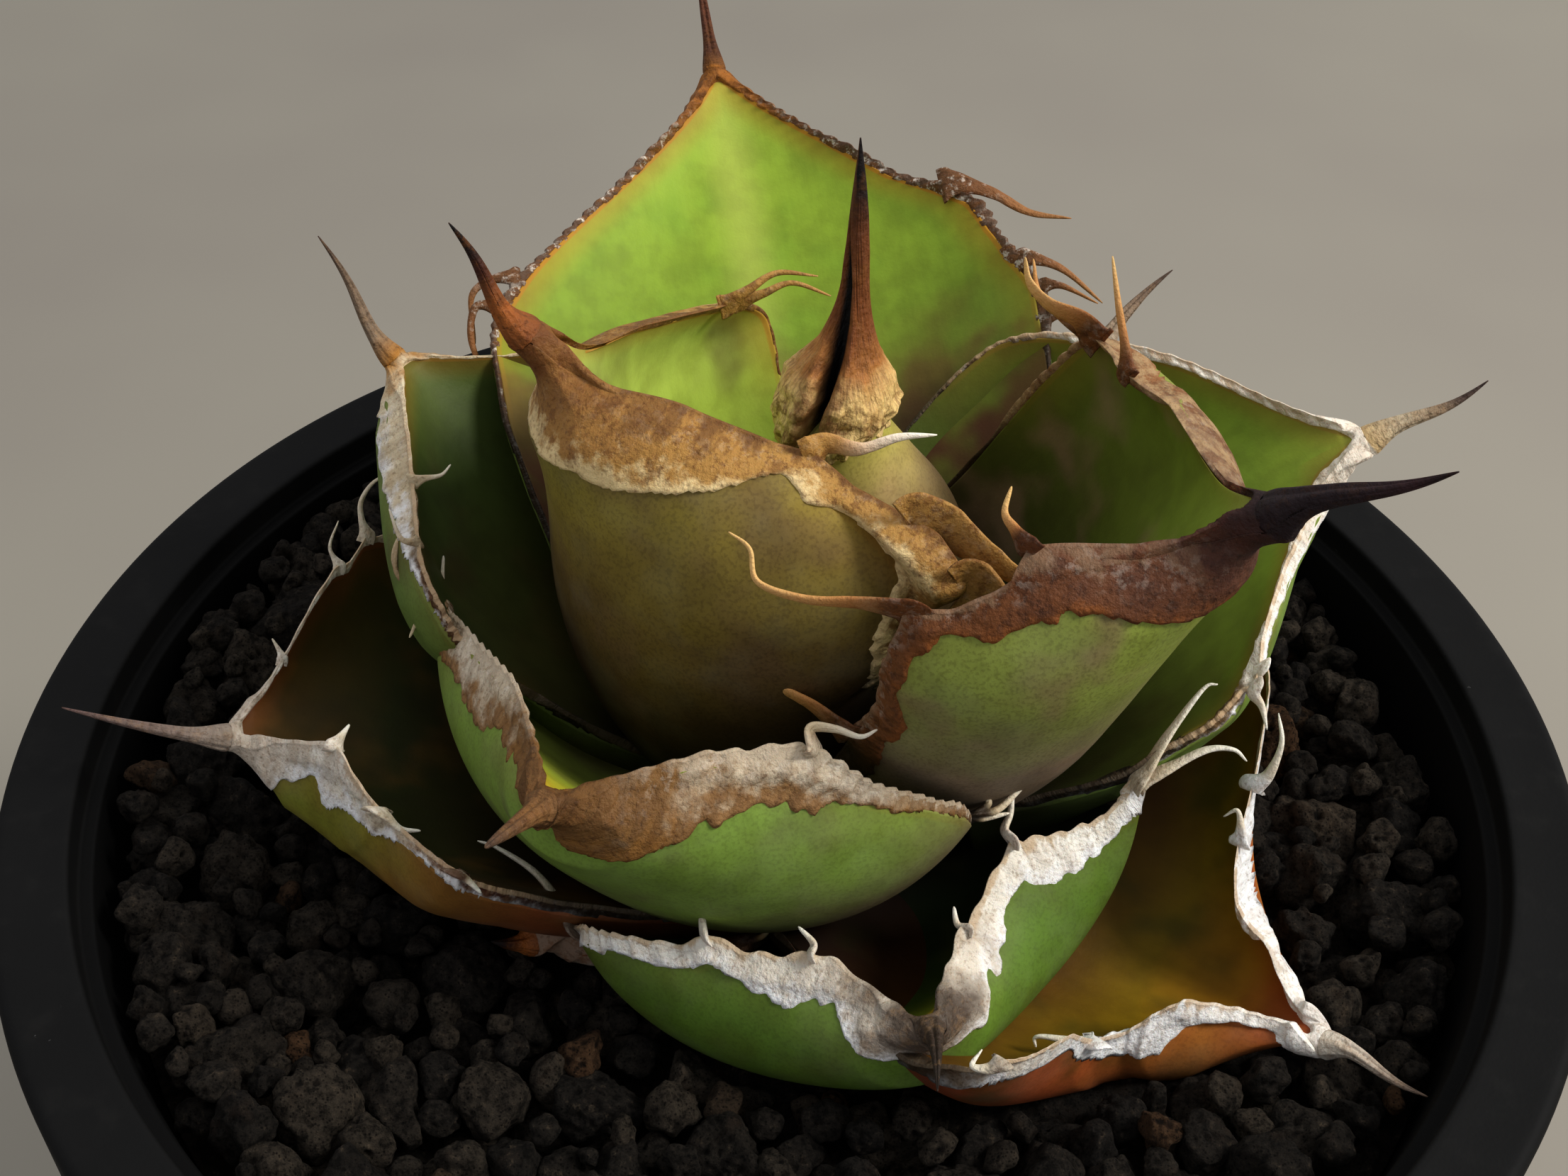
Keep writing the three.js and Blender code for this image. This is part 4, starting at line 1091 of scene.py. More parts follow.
        "11", az=322, reach=44, rise=-5, root_out=8.5, root_up=-7, swing=-4, climb=(5, 24), turn=-4, pull=0.5,
        half=24.5, widest=0.42, point=0.5, cup=(36, 80), roll=4, spine=(8, -2, 2), bend=(0.3, 0.5), neck=1.05,
        wave={
            1: [
                (0.3, 0), (0.5, 2.8), (0.65, 4.3), (0.7, 4.5), (0.76, 4.2), (0.8, 3.7), (0.84, 2.8),
                (0.88, 1.7), (0.91, 1.0), (0.96, 0.1),
            ],
            -1: [
                (0.3, 0), (0.5, 1), (0.6, 1.8), (0.65, 1.3), (0.68, -1.6), (0.73, -2), (0.79, 0.8), (0.83, 2),
                (0.92, 0.7),
            ],
        },
        crest={
            1: [
                (0, 0.4), (0.6, 0.6), (0.7, 0.9), (0.76, 2.6), (0.81, 3.4), (0.85, 2.4), (0.88, 0.8),
                (1, 0.3),
            ],
            -1: [(0, 0.5), (0.8, 1.2), (0.88, 0.4), (1, 0.3)],
        },
        band={
            1: [(0.12, 1), (0.5, 2), (0.7, 2.4), (0.85, 3), (0.93, 2), (0.97, 3)],
            -1: [
                (0.12, 0.8), (0.48, 1.4), (0.6, 1.8), (0.68, 0.8), (0.73, 1.0), (0.8, 2.2), (0.85, 1.8),
                (0.9, 0.8), (0.96, 0.7), (0.985, 4),
            ],
        },
        flip={1: [(0.7, 0), (0.77, -1.2), (0.82, -1.5), (0.86, -0.6), (0.89, 0)]}, ribs=0.12,
        teeth=[
            Tooth(
                -1, 0.69, [(0.4, -0.4, -0.6), (0.5, -0.8, -1.6), (0.8, -1.6, -3.7), (0.6, -2.3, -3.5)], 1.2,
            ),
            Tooth(-1, 0.494, [(0.4, -0.8, -0.5), (0.4, -1.2, -1.5), (0.1, 0, -1.5)], 1.0),
            Tooth(1, 0.768, [(1, -0.4, 0), (2.3, -1.1, -0.5), (1.7, -0.6, -1.4)], 1.0, 0.5, 0.8, 0, 0.8),
            Tooth(1, 0.73, [(1.2, -0.7, 0.9), (3.4, -2.1, 1.2), (5.2, -3.2, 0.4)], 1.0, 0.5, 1.0, 0, 0.8),
        ],
    ),
    Leaf(
        "12", az=107, reach=46, rise=1, root_out=8.5, root_up=-8, climb=(5, 24), cup=(45, 45), thick=7,
        spine=(10, 4, 15), band=both([(0.1, 1), (0.6, 2), (0.9, 2.6), (0.96, 4)]), sprouts=4,
    ),
    Leaf(
        "13", az=221, reach=29, rise=-5, root_out=8.5, root_up=-9, climb=(2, 20), half=13, cup=(45, 40),
        thick=4, spine=(3.5, -6, 15), band=both([(0.1, 1), (0.6, 1.6), (0.9, 2), (0.96, 3)]), sprouts=2,
    ),
]

# The ramps go dark towards the root: partly the leaves' own brown bases, partly painted shade where the leaves
# cover one another.
FLESH = {
    "01": dict(
        upper=[(0, "5d6a35"), (1, "6f8a3c")],
        lower=[(0.0, "4a3a2c"), (0.45, "b48e6c"), (0.75, "c4a878"), (1, "cac460")], margin="8a8a3a",
        flush=("c09078", 0.55),
    ),
    "02": dict(
        # Painted light: 02's upper face is lighter than its own colour.
        upper=[(0, "8a9c40"), (0.5, "b4cc58"), (1, "c8dc70")],
        lower=[(0.0, "22160e"), (0.35, "4a3622"), (0.6, "74602e"), (0.78, "968638"), (1, "98903a")],
        margin="c48a34", flush=("6e5542", 0.5), freckles=0.32,
    ),
    "03": dict(
        upper=[(0, "463426"), (0.4, "5a6426"), (0.8, "728628"), (1, "80922e")],
        lower=[(0.0, "62564a"), (0.45, "92806a"), (0.72, "9ca854"), (1, "9cac4a")], margin="8a7a2c",
        flush=("9a7e68", 0.65), freckles=0.3,
    ),
    "04": dict(
        # Painted light: 04's upper face is lighter, standing for light shining through the leaf.
        upper=[
            (0, "2a1a10"), (0.3, "5e3c22"), (0.45, "74682c"), (0.56, "88a232"), (0.7, "96b238"),
            (1, "a4be44"),
        ],
        lower=[(0, "6a7a3a"), (1, "8aa048")], margin="c47e1e", flush=("84a834", 0.5), vein=0.3,
    ),
    "05": dict(
        upper=[(0, "5a4c34"), (0.45, "7e8c3a"), (0.8, "a8b440"), (1, "ccbc34")],
        lower=[(0.0, "5e5244"), (0.42, "7e7254"), (0.66, "86a048"), (1, "8caa4c")], margin="b08a2c",
        flush=("78704a", 0.5),
    ),
    "06": dict(
        upper=[(0, "2c2414"), (0.4, "5e6c28"), (0.8, "86a034"), (1, "9cae3c")],
        lower=[(0, "6a7a3a"), (0.6, "7c9a48"), (1, "86a852")], margin="9c7c34", flush=("5a5228", 0.4),
    ),
    "07": dict(
        upper=[(0, "2a1c10"), (0.4, "46461c"), (0.8, "42521f"), (1, "5c6a28")],
        lower=[(0, "5c6a30"), (1, "7a9448")], margin="946c2c", flush=("4c3c1e", 0.5),
    ),
    "08": dict(
        upper=[(0, "0e1208"), (0.5, "263418"), (0.8, "48601e"), (0.95, "8a9628"), (1, "c4a82c")],
        lower=[(0.0, "46421e"), (0.4, "565e24"), (0.7, "62802c"), (1, "74943a")], margin="8a6a24",
        flush=("606028", 0.5),
    ),
    "09": dict(
        upper=[(0, "3c4420"), (0.5, "46542a"), (1, "7c8c34")], lower=[(0, "66743a"), (1, "7a8c3c")],
        margin="a08a3a",
    ),
    "10": dict(
        upper=[(0, "241008"), (0.4, "2c2208"), (0.7, "2c3008"), (0.9, "4a380e"), (1, "8e5a1c")],
        lower=[(0.0, "662a1a"), (0.4, "8a4e28"), (0.7, "9c7834"), (0.9, "929638"), (1, "9a7434")],
        margin="7a4420", flush=("6a4a1a", 0.5),
    ),
    "11": dict(
        upper=[(0, "2a0e06"), (0.35, "5a360c"), (0.65, "8a7012"), (0.85, "a47416"), (1, "a04a1c")],
        lower=[(0.0, "30140a"), (0.3, "843a20"), (0.6, "b46032"), (0.85, "b87a36"), (1, "a85e30")],
        margin="9a4a22", flush=("444812", 0.6),
    ),
    "12": dict(
        upper=[(0, "4a3c1e"), (0.5, "4c5c24"), (1, "80802e")], lower=[(0, "7c5c30"), (1, "868440")],
        margin="96783a", flush=("6a4c22", 0.4),
    ),
    "13": dict(
        upper=[(0, "6a3020"), (1, "8a5434")], lower=[(0, "7a3824"), (1, "84442a")], margin="8a5a3a",
        flush=("5c2c1c", 0.6),
    ),
}

BROWN = dict(
    band=[(0.5, "8e6436"), (0.76, "bc9250"), (0.86, "b88c4a"), (1.0, "7a4c24")], pale="f0d8a4", edge="6e4824",
    spine=[(0, "8a5226"), (0.3, "a8642a"), (0.6, "4e2614"), (0.8, "221412"), (1, "121010")], ribs=0.05,
    fringe=(0.4, 0.8), mottle=("74481f", 0.55), fleck_and_glint=0.12,
)
WHITE = dict(
    band=[(0.3, "ccc0a8"), (0.66, "fffaf0"), (1.0, "f0e6d6")], pale="ffffff", edge="c8ac88",
    tooth=("e0d2b8", "f8f2e4"), ribs=0.3,
    spine=[(0, "c4b6a2"), (0.4, "a08a74"), (0.8, "6e5a4a"), (1, "4a382c")], mottle=("b08c60", 0.22),
    fleck_and_glint=0.4,
)
HORN = {
    "02": dict(BROWN, tooth=("c89a60", "fff6e6")),
    "03": dict(
        BROWN, band=[(0.5, "80522c"), (0.8, "7a4a24"), (0.88, "6a4026"), (0.95, "4c2c22"), (1, "2c1616")],
        pale="945a2a", edge="8f7358", tooth=("b87c42", "e8c080"),
        spine=[(0, "26161a"), (0.5, "24141a"), (0.8, "3c2024"), (1, "180e10")], ribs=0.15, fringe=(0.5, 1.0),
        mottle=("3c2010", 0.5), fleck_and_glint=0.2, far="b89c74",
    ),
    "04": dict(
        BROWN, band=[(0.3, "7a5432"), (0.8, "7c5634"), (1, "a86c24")], pale="b07a34", edge="6a5444", ribs=0.4,
        fleck_and_glint=0.9, spine=[(0, "8a5a24"), (0.15, "5e3820"), (0.5, "6e4028"), (1, "5a3422")],
        tooth=("94643a", "b88a58"),
    ),
    "05": dict(
        BROWN,
        band=[
            (0.45, "6e4c28"), (0.66, "a88c68"), (0.73, "dacdb8"), (0.85, "d2c2a8"), (0.9, "8a6638"),
            (1, "745028"),
        ],
        pale="946a34", edge="c8b8a0", spine=[(0, "86623a"), (0.5, "8a643c"), (1, "5e4a3c")],
        tooth=("d8c4a0", "f6ecd8"), ribs=0.4, fringe=(0.3, 0.8), mottle=("8a6840", 0.4), fleck_and_glint=0.4,
    ),
    "06": dict(
        WHITE, band=[(0.5, "3a2c18"), (0.62, "7a6040"), (0.69, "fffaf0"), (1, "f4eada")],
        spine=[(0, "d0b484"), (0.3, "c8b89c"), (0.6, "a08a70"), (0.8, "5c4a40"), (1, "3a2c28")],
    ),
    "07": dict(
        WHITE, band=[(0.4, "3a2a14"), (0.72, "5e3e20"), (0.8, "d8c6a4"), (0.95, "e8dabc"), (1.0, "b88640")],
        spine=[(0, "b47e34"), (0.25, "94806a"), (0.7, "84705c"), (1, "4c3c34")],
    ),
    "08": dict(
        WHITE,
        # Painted shade: 08's band darkens to grey-brown at its tip.
        band=[
            (0.4, "8a6a5c"), (0.5, "ccc0a8"), (0.68, "fffaf0"), (0.9, "ece2d2"), (0.97, "7a6e62"),
            (1.0, "5c4e42"),
        ],
        spine=[(0, "5c4e42"), (0.4, "46382e"), (1, "2c2420")],
    ),
    "09": WHITE,
    "10": dict(
        WHITE,
        band=[
            (0.3, "3a1a10"), (0.6, "5a3020"), (0.72, "a89076"), (0.8, "e2d6be"), (0.88, "f2eadc"),
            (1.0, "d0c2b0"),
        ],
        spine=[(0, "a89a8c"), (0.5, "88766c"), (1, "6e5854")],
    ),
    "11": dict(
        WHITE, band=[(0.4, "8a6a4c"), (0.5, "e0d6c4"), (0.7, "ffffff"), (1.0, "fffaf2")],
        spine=[(0, "ded6c8"), (0.5, "c4b6a6"), (1, "7c6454")],
    ),
    "12": WHITE,
    "13": dict(BROWN, band=[(0.3, "7a5a4c"), (1, "98806c")], pale="b4a494"),
}


def make_leaves():
    for leaf in LEAVES:
        flesh = flesh_material("flesh_" + leaf.number, **FLESH[leaf.number])
        horn = horn_material("horn_" + leaf.number, **HORN[leaf.number])
        build("flesh_" + leaf.number, leaf_flesh(leaf), flesh, "leaf_" + leaf.number)
        build("horn_" + leaf.number, leaf_horn(leaf), horn, "border_" + leaf.number)


# ---- Central bud ----

BUD_AXIS = np.array([[3.4, 3.4, 1], [4.9, 3.6, 15], [2.5, 2.4, 29]]) + [0, 0, POT_HEIGHT]
BUD_RADII = [4.5, 7.6, 8.6, 7.6, 5.4, 3.2]
BUD_CAP_TIP = np.array([3.5, 4.2, 48.9 + POT_HEIGHT])
BUD_CAP_RADII = [3.6, 3.3, 1.9, 1.05, 0.78, 0.5, 0.05]
BUD_BOW = np.array([1.1, 0, 0])  # how far the spine bows out of a straight line
BUD_HEIGHT = 30
# The slit's place and half its width, in degrees round the bud, from v = 0 at its foot and 1 at its cap to 2.
SLIT_AT = [
    (0, 236), (0.95, 238), (1.08, 243), (1.17, 247), (1.3, 243), (1.42, 236), (1.5, 228), (1.7, 208),
    (2, 204),
]
SLIT_HALF = [(0.8, 5), (1.1, 6), (1.2, 9), (1.3, 17), (1.42, 26), (1.55, 30), (1.68, 16), (1.78, 0)]


def bud_line(v):
    """Axis and radius of the bud: v from 0 to 1 up its body, and to 2 up its spine."""
    body = catmull(BUD_AXIS, 40)
    seat = body[-1]
    knee = mix(seat, BUD_CAP_TIP, 0.4) + BUD_BOW
    t = np.linspace(0, 1, 41)[1:, None]
    cap = seat * (1 - t) ** 2 + 2 * knee * t * (1 - t) + BUD_CAP_TIP * t * t
    line = np.vstack([body, cap])
    where = np.concatenate([np.linspace(0, 1, len(body)), 1 + t[:, 0]])
    axis = np.stack([np.interp(v, where, line[:, i]) for i in range(3)], -1)
    radii = BUD_RADII[:-1] + BUD_CAP_RADII
    places = np.concatenate([np.linspace(0, 1, 6)[:-1], 1 + np.linspace(0, 1, 7)])
    fine = catmull(np.stack([places, radii, 0 * places], -1), 8)
    return axis, np.interp(v, fine[:, 0], fine[:, 1])


def bud_rings(v, around, lift):
    axis, radius = bud_line(v)
    tangent = unit(bud_line(v + 0.15)[0] - bud_line(v - 0.15)[0])
    side = unit(np.array([1.0, 0, 0]) - tangent * tangent[:, :1])
    front = np.cross(tangent, side)
    a = np.radians(around)
    r = radius[:, None] + lift
    return oval(axis, side, front, r, r, a)


def bud_place(v, off, wide):
    """Places for noise on the bud, `wide` degrees round it to one across."""
    return np.stack([v * BUD_HEIGHT, off / wide, 0 * v], -1)


def make_bud():
    around = np.linspace(0, 360, 160, endpoint=False)
    V, A = np.meshgrid(np.linspace(0, 1.06, 130), around, indexing="ij")
    off = off_groove(V, A)
    overlap = 0.8 * smooth(off, -4, 2) * smooth(off, 190, 20) * smooth(V, 0.1, 0.5)
    lift = overlap - 0.45 + 0.25 * noise(bud_place(V, off, 12), 6, 3) - 2.2 * smooth(V, 1.0, 1.06)
    looks = np.stack([V, 9 + 0 * V, 0 * V + 1], -1)
    shape = Shape()
    shape.rings(bud_rings(V[:, 0], A, lift), leaf=looks, mm=bud_place(V, off, 8))
    build("flesh_01", shape, flesh_material("flesh_01", **FLESH["01"]), "leaf_01_bud")

    around = np.linspace(0, 360, 260, endpoint=False)
    heights = np.concatenate([np.linspace(0.55, 1.1, 150, endpoint=False), np.linspace(1.1, 2, 150)])
    V, A = np.meshgrid(heights, around, indexing="ij")
    off = off_groove(V, A)
    place = bud_place(V, off, 9)
    low = 0.965 - 0.01 * np.exp(-(((off + 25) / 40) ** 2)) + 0.035 * np.exp(-(((off - 115) / 40) ** 2))
    low = low + 0.022 * noise(place, 2.2, 1) + 0.012 * noise(place, 0.8, 2)
    cover = smooth((V - low) * BUD_HEIGHT, -0.3, 0.3)
    cork = 0.8 * smooth(V, low - 0.02, low + 0.1) * smooth(V, 1.32, 1.0)
    knobs = 0.36 * noise(place, 2.0, 4) + 0.3 * noise(place, 1.0, 5) + 0.08 * noise(place, 0.5, 6)
    grain = 0.05 * noise(np.stack([V * 6, off / 6, 0 * V], -1), 0.8, 7)
    skin = (0.2 * smooth(V, 1.5, 1.1) + cork + knobs * smooth(V, 1.4, 1.0) + grain) * smooth(V, 2.0, 1.6)
    lift = mix(-1.2, skin, cover)
    half = knots(SLIT_HALF, V[:, 0])[:, None] * (1 + 0.5 * noise(place, 1.2, 9) * smooth(V, 1.3, 1.05))
    groove = np.exp(-((off / np.maximum(half, 0.5)) ** 4)) * smooth(half, 0.5, 4)
    lips = 0.35 * np.exp(-(((np.abs(off) - half - 9) / 8) ** 2)) * smooth(V, 1.7, 1.1)
    radius = bud_line(V[:, 0])[1][:, None]
    lift = lift + lips * cover - groove * cover * 0.7 * (radius + np.maximum(lift, 0))
    horn = np.stack([np.where(V < 1, 0.5 + 0.5 * V, V), groove, 0 * V], -1)
    shape = Shape()
    shape.rings(bud_rings(V[:, 0], A, lift), horn=horn, mm=place)
    build("horn_01", shape, bud_horn_material(), "border_01_bud")


def off_groove(v, around):
    """Degrees from the slit where the rolled leaf's edges meet, from -180 to 180. It wanders a little."""
    at = knots(SLIT_AT, v) + 3 * noise(bud_place(v, 0 * v, 1), 1.3, 8) * smooth(v, 1.35, 1.1)
    return (around - at + 180) % 360 - 180


def bud_horn_material():
    """Cream cork that darkens up the spine and browns along the slit, partly as painted shade, with the slit
    painted black as painted shade.
    """
    n = Nodes("horn_01", 0.6, Specular_IOR_Level=0.4, Subsurface_Weight=0.05, Subsurface_Scale=0.001)
    length, groove, _ = n.parts("horn")
    along, across, _ = n.parts("mm")
    wobble = n.times(n.maths("SUBTRACT", n.noise(2.5), 0.5), 0.3)
    position = n.times(n.maths("ADD", length, wobble), 0.5)
    horn = n.ramp(position, [
        (0.45, "f2d89c"), (0.58, "eccb88"), (0.64, "bc8244"), (0.7, "8c5428"), (0.84, "7e4a26"),
        (0.9, "4a2a1a"), (0.945, "1c1212"),
    ])
    worms = n.step(n.maths("ABSOLUTE", n.maths("SUBTRACT", n.noise(1.7, 4), 0.5)), 0.05, 0.0)
    horn = n.blend(n.times(worms, n.step(length, 1.3, 1.0, 0.0, 0.8)), horn, "7c5024")
    stain = n.step(n.noise(2.6, 4, rough=0.65), 0.5, 0.66)
    horn = n.blend(n.times(stain, 0.45), horn, "94602c")
    # Browner along both sides of the slit: partly the lips' own brown, partly painted shade beside the slit.
    off = n.maths("ADD", n.maths("ABSOLUTE", across), n.step(n.noise(1.2, 4), 0.3, 0.7, -1.2, 1.2))
    horn = n.blend(n.times(n.step(off, 3.8, 0.8), 0.75), horn, "7a4c24")
    lanes = n.vector(n.times(along, 0.25), across)
    fibre = n.noise(0.35, 3, lanes)
    horn = n.shade(n.step(fibre, 0.6, 0.3, 0.0, 0.4), horn, "6a5040")
    # Painted shade: the slit is painted near black.
    horn = n.blend(n.step(groove, 0.2, 0.7), horn, "0a0808")
    n.bump((fibre, 0.25, 0.5), (n.noise(0.9, 4), 0.4, 0.7), (n.noise(0.3, 3), 0.12, 0.6))
    return n.colour(horn)


# ---- Stem, soil and pot ----

STEM_PROFILE = [(5, -34), (9.5, -22), (9.5, -6), (5.5, 0), (0.4, 0.6)]


def make_stem():
    fine = catmull([(r, h, 0) for r, h in STEM_PROFILE], 8)
    angle = np.linspace(0, 2 * np.pi, 72, endpoint=False)
    points = polar(fine[:, :1], angle, POT_HEIGHT + fine[:, 1:2]) + [*STEM, 0]
    points[..., 0] += 0.25 * noise(points, 2.0, 1)
    points[..., 1] += 0.25 * noise(points, 2.0, 2)
    shape = Shape()
    shape.rings(points)
    build("stem_wood", shape, woody_material("stem_wood"), "stem")
def icosphere(level):
    """A round ball's points and triangles, each split in four `level` times."""
    t = (1 + 5**0.5) / 2
    points = unit(np.array([
        [-1, t, 0], [1, t, 0], [-1, -t, 0], [1, -t, 0], [0, -1, t], [0, 1, t],
        [0, -1, -t], [0, 1, -t], [t, 0, -1], [t, 0, 1], [-t, 0, -1], [-t, 0, 1],
    ]))
    faces = np.array([
        [0, 11, 5], [0, 5, 1], [0, 1, 7], [0, 7, 10], [0, 10, 11],
        [1, 5, 9], [5, 11, 4], [11, 10, 2], [10, 7, 6], [7, 1, 8],
        [3, 9, 4], [3, 4, 2], [3, 2, 6], [3, 6, 8], [3, 8, 9],
        [4, 9, 5], [2, 4, 11], [6, 2, 10], [8, 6, 7], [9, 8, 1],
    ])
    for _ in range(level):
        edges = np.sort(np.concatenate([faces[:, [0, 1]], faces[:, [1, 2]], faces[:, [2, 0]]]), axis=1)
        pairs, index = np.unique(edges, axis=0, return_inverse=True)
        middle = len(points) + index.reshape(3, -1)
        points = np.vstack([points, unit(points[pairs[:, 0]] + points[pairs[:, 1]])])
        a, b, c = faces.T
        ab, bc, ca = middle
        quarters = [a, ab, ca], [b, bc, ab], [c, ca, bc], [ab, bc, ca]
        faces = np.concatenate([np.stack(quarter, -1) for quarter in quarters])
    return points, faces


def inner_radius(height):
    """Radius of the pot's inside, from its floor to the ledge under its lip."""
    floor = mix(BODY_BASE_RADIUS, BODY_TOP_RADIUS, FLOOR_THICKNESS / (POT_HEIGHT - LIP_DROP)) - WALL
    share = (height - FLOOR_THICKNESS) / (POT_HEIGHT - STEP_DEPTH - FLOOR_THICKNESS)
    return mix(floor, LIP_RADIUS - STEP_WIDTH, share)
def plant_points():
    """Points all over the blades and the solids of their margins, to keep the stones clear of them."""
    found = []
    for name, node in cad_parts.items():
        if name.startswith("leaf_"):
            found += [v.co / MM for v in bpy.data.objects["flesh_" + name[5:7]].data.vertices][::3]
        elif name.startswith("border_"):
            found += [v.co / MM for v in node.data.vertices]
    tree = KDTree(len(found))
    for i, co in enumerate(found):
        tree.insert(co, i)
    tree.balance()
    return tree


# Number, least and largest radius.
STONES = [(95, 2.9, 3.9), (210, 2.1, 2.9), (420, 1.4, 2.1), (300, 0.9, 1.4)]
LARGE_STONE = 2.7  # least radius of the two pieces of large stones
MEDIUM_STONE = 1.9
SMALL_BALL = 1.4  # greatest radius of the stones that are made of fewer faces
FIRST_PIECE = 55  # how many of the large stones go into the first of their two pieces


def pile_stones():
    """Stones dropped one by one on the bed, large ones first, each to rest on those below it. They lie higher
    by the wall, and most of all on the left."""
    random = np.random.default_rng(5)
    plant = plant_points()
    stones = np.empty((0, 4))
    for count, low, high in STONES:
        made = 0
        for _ in range(count * 12):
            radius = random.uniform(low, high)
            out = (inner_radius(SOIL_TOP) + 0.2 - radius) * np.sqrt(random.uniform(0.03, 1))
            turn = random.uniform(0, 2 * np.pi)
            x, y = out * np.cos(turn), out * np.sin(turn)
            reach = (0.84 * (radius + stones[:, 3])) ** 2 - (x - stones[:, 0]) ** 2 - (y - stones[:, 1]) ** 2
            under = reach > 0
            heap = mix(1.8, 7.4, smooth(x, 30, -30)) * smooth(out + radius, 38, 53)
            base = SOIL_TOP - 2.4 - 0.35 * radius + heap
            height = max([base, *(stones[under, 2] + np.sqrt(reach[under]))])
            if height + radius > SOIL_TOP + 4.0 + 0.6 * heap:
                continue
            if plant.find((x, y, height))[2] < radius * 1.1 + 0.3:
                continue
            stones = np.vstack([stones, (x, y, height, radius)])
            made += 1
            if made == count:
                break
    return stones


def make_stone(shape, points, faces, place, radius, random):
    """One broken stone: a blunt polyhedron with lumps, grains and bubble pits."""
    seed = int(random.integers(1, 10**6))
    planes = unit(random.normal(size=(11, 3)))
    reach = random.uniform(0.66, 1.0, len(planes)) / np.maximum(points @ planes.T, 0.06)
    size = np.sum(reach**-16.0, axis=1) ** (-1 / 16)
    size = np.minimum(size / np.median(size), 1.25) * 0.9 * radius
    where = points * radius + random.uniform(0, 500, 3)
    rough = 0.34 * noise(where, 1.7, seed) + 0.26 * noise(where, 0.8, seed + 1)
    rough = rough + 0.16 * noise(where, 0.4, seed + 2)
    pits = unit(random.normal(size=(int(4 + 2.6 * radius**2), 3)))
    wide = random.uniform(0.15, 0.42, len(pits))
    near = np.arccos(np.clip(points @ pits.T, -1, 1)) * radius / wide
    pit = np.max(np.exp(-(near**4)) * wide * 0.75, axis=1)
    body = points * (size + rough * min(1, radius / 2.2) - pit)[:, None] * random.uniform(0.84, 1.1, 3)
    turn = Matrix.Rotation(random.uniform(0, 6.28), 3, Vector(random.normal(size=3)))
    tone = random.uniform(0, 0.88) if random.uniform() < 0.95 else random.uniform(0.9, 1)
    grain = np.column_stack([np.full(len(body), tone), pit, 0 * pit])
    shape.add(body @ np.array(turn).T + place, np.column_stack([faces, faces[:, 2]]), stone=grain)


def make_soil():
    lava = lava_material("lava")
    random = np.random.default_rng(17)
    fine, coarse, small = icosphere(4), icosphere(3), icosphere(2)
    groups = {"lava_large_a": [], "lava_large_b": [], "lava_medium": [], "lava_small": []}
    for stone in pile_stones():
        radius = stone[3]
        if radius > LARGE_STONE:
            name, ball = "lava_large_a" if len(groups["lava_large_a"]) < FIRST_PIECE else "lava_large_b", fine
        else:
            name = "lava_medium" if radius > MEDIUM_STONE else "lava_small"
            ball = coarse if radius > SMALL_BALL else small
        groups[name].append((stone, ball))
    for name, members in groups.items():
        shape = Shape()
        for stone, (points, faces) in members:
            make_stone(shape, points, faces, stone[:3], stone[3], random)
        build(name, shape, lava, "soil")

    gap = 0.35  # between the bed and the pot
    angle = np.linspace(0, 2 * np.pi, 260, endpoint=False)
    R, A = np.meshgrid(np.linspace(0.5, inner_radius(SOIL_TOP) - gap, 110), angle, indexing="ij")
    flat = polar(R, A)
    height = SOIL_TOP - 2.2 + 1.1 * np.abs(noise(flat, 3.0, 1)) + 0.7 * np.abs(noise(flat, 1.4, 2))
    top = polar(R, A, height + 0.2 * noise(flat, 0.6, 3))
    foot = FLOOR_THICKNESS + 0.3
    wall = [polar(inner_radius(z) - gap, angle, z) for z in np.linspace(SOIL_TOP - 4, foot, 12)]
    points = np.concatenate([top, np.stack(wall), polar(0.5, angle, foot)[None]])
    shape = Shape()
    shape.rings(points[::-1], stone=np.tile([0.15, 0, 0], points.shape[:2] + (1,)))
    build("lava_bed", shape, lava, "soil")


def arc(centre, radius, start, end, steps=5):
    """Points round a corner, as radius from the axis and height."""
    a = np.radians(np.linspace(start, end, steps))
    return [(centre[0] + radius * np.cos(t), centre[1] + radius * np.sin(t)) for t in a]


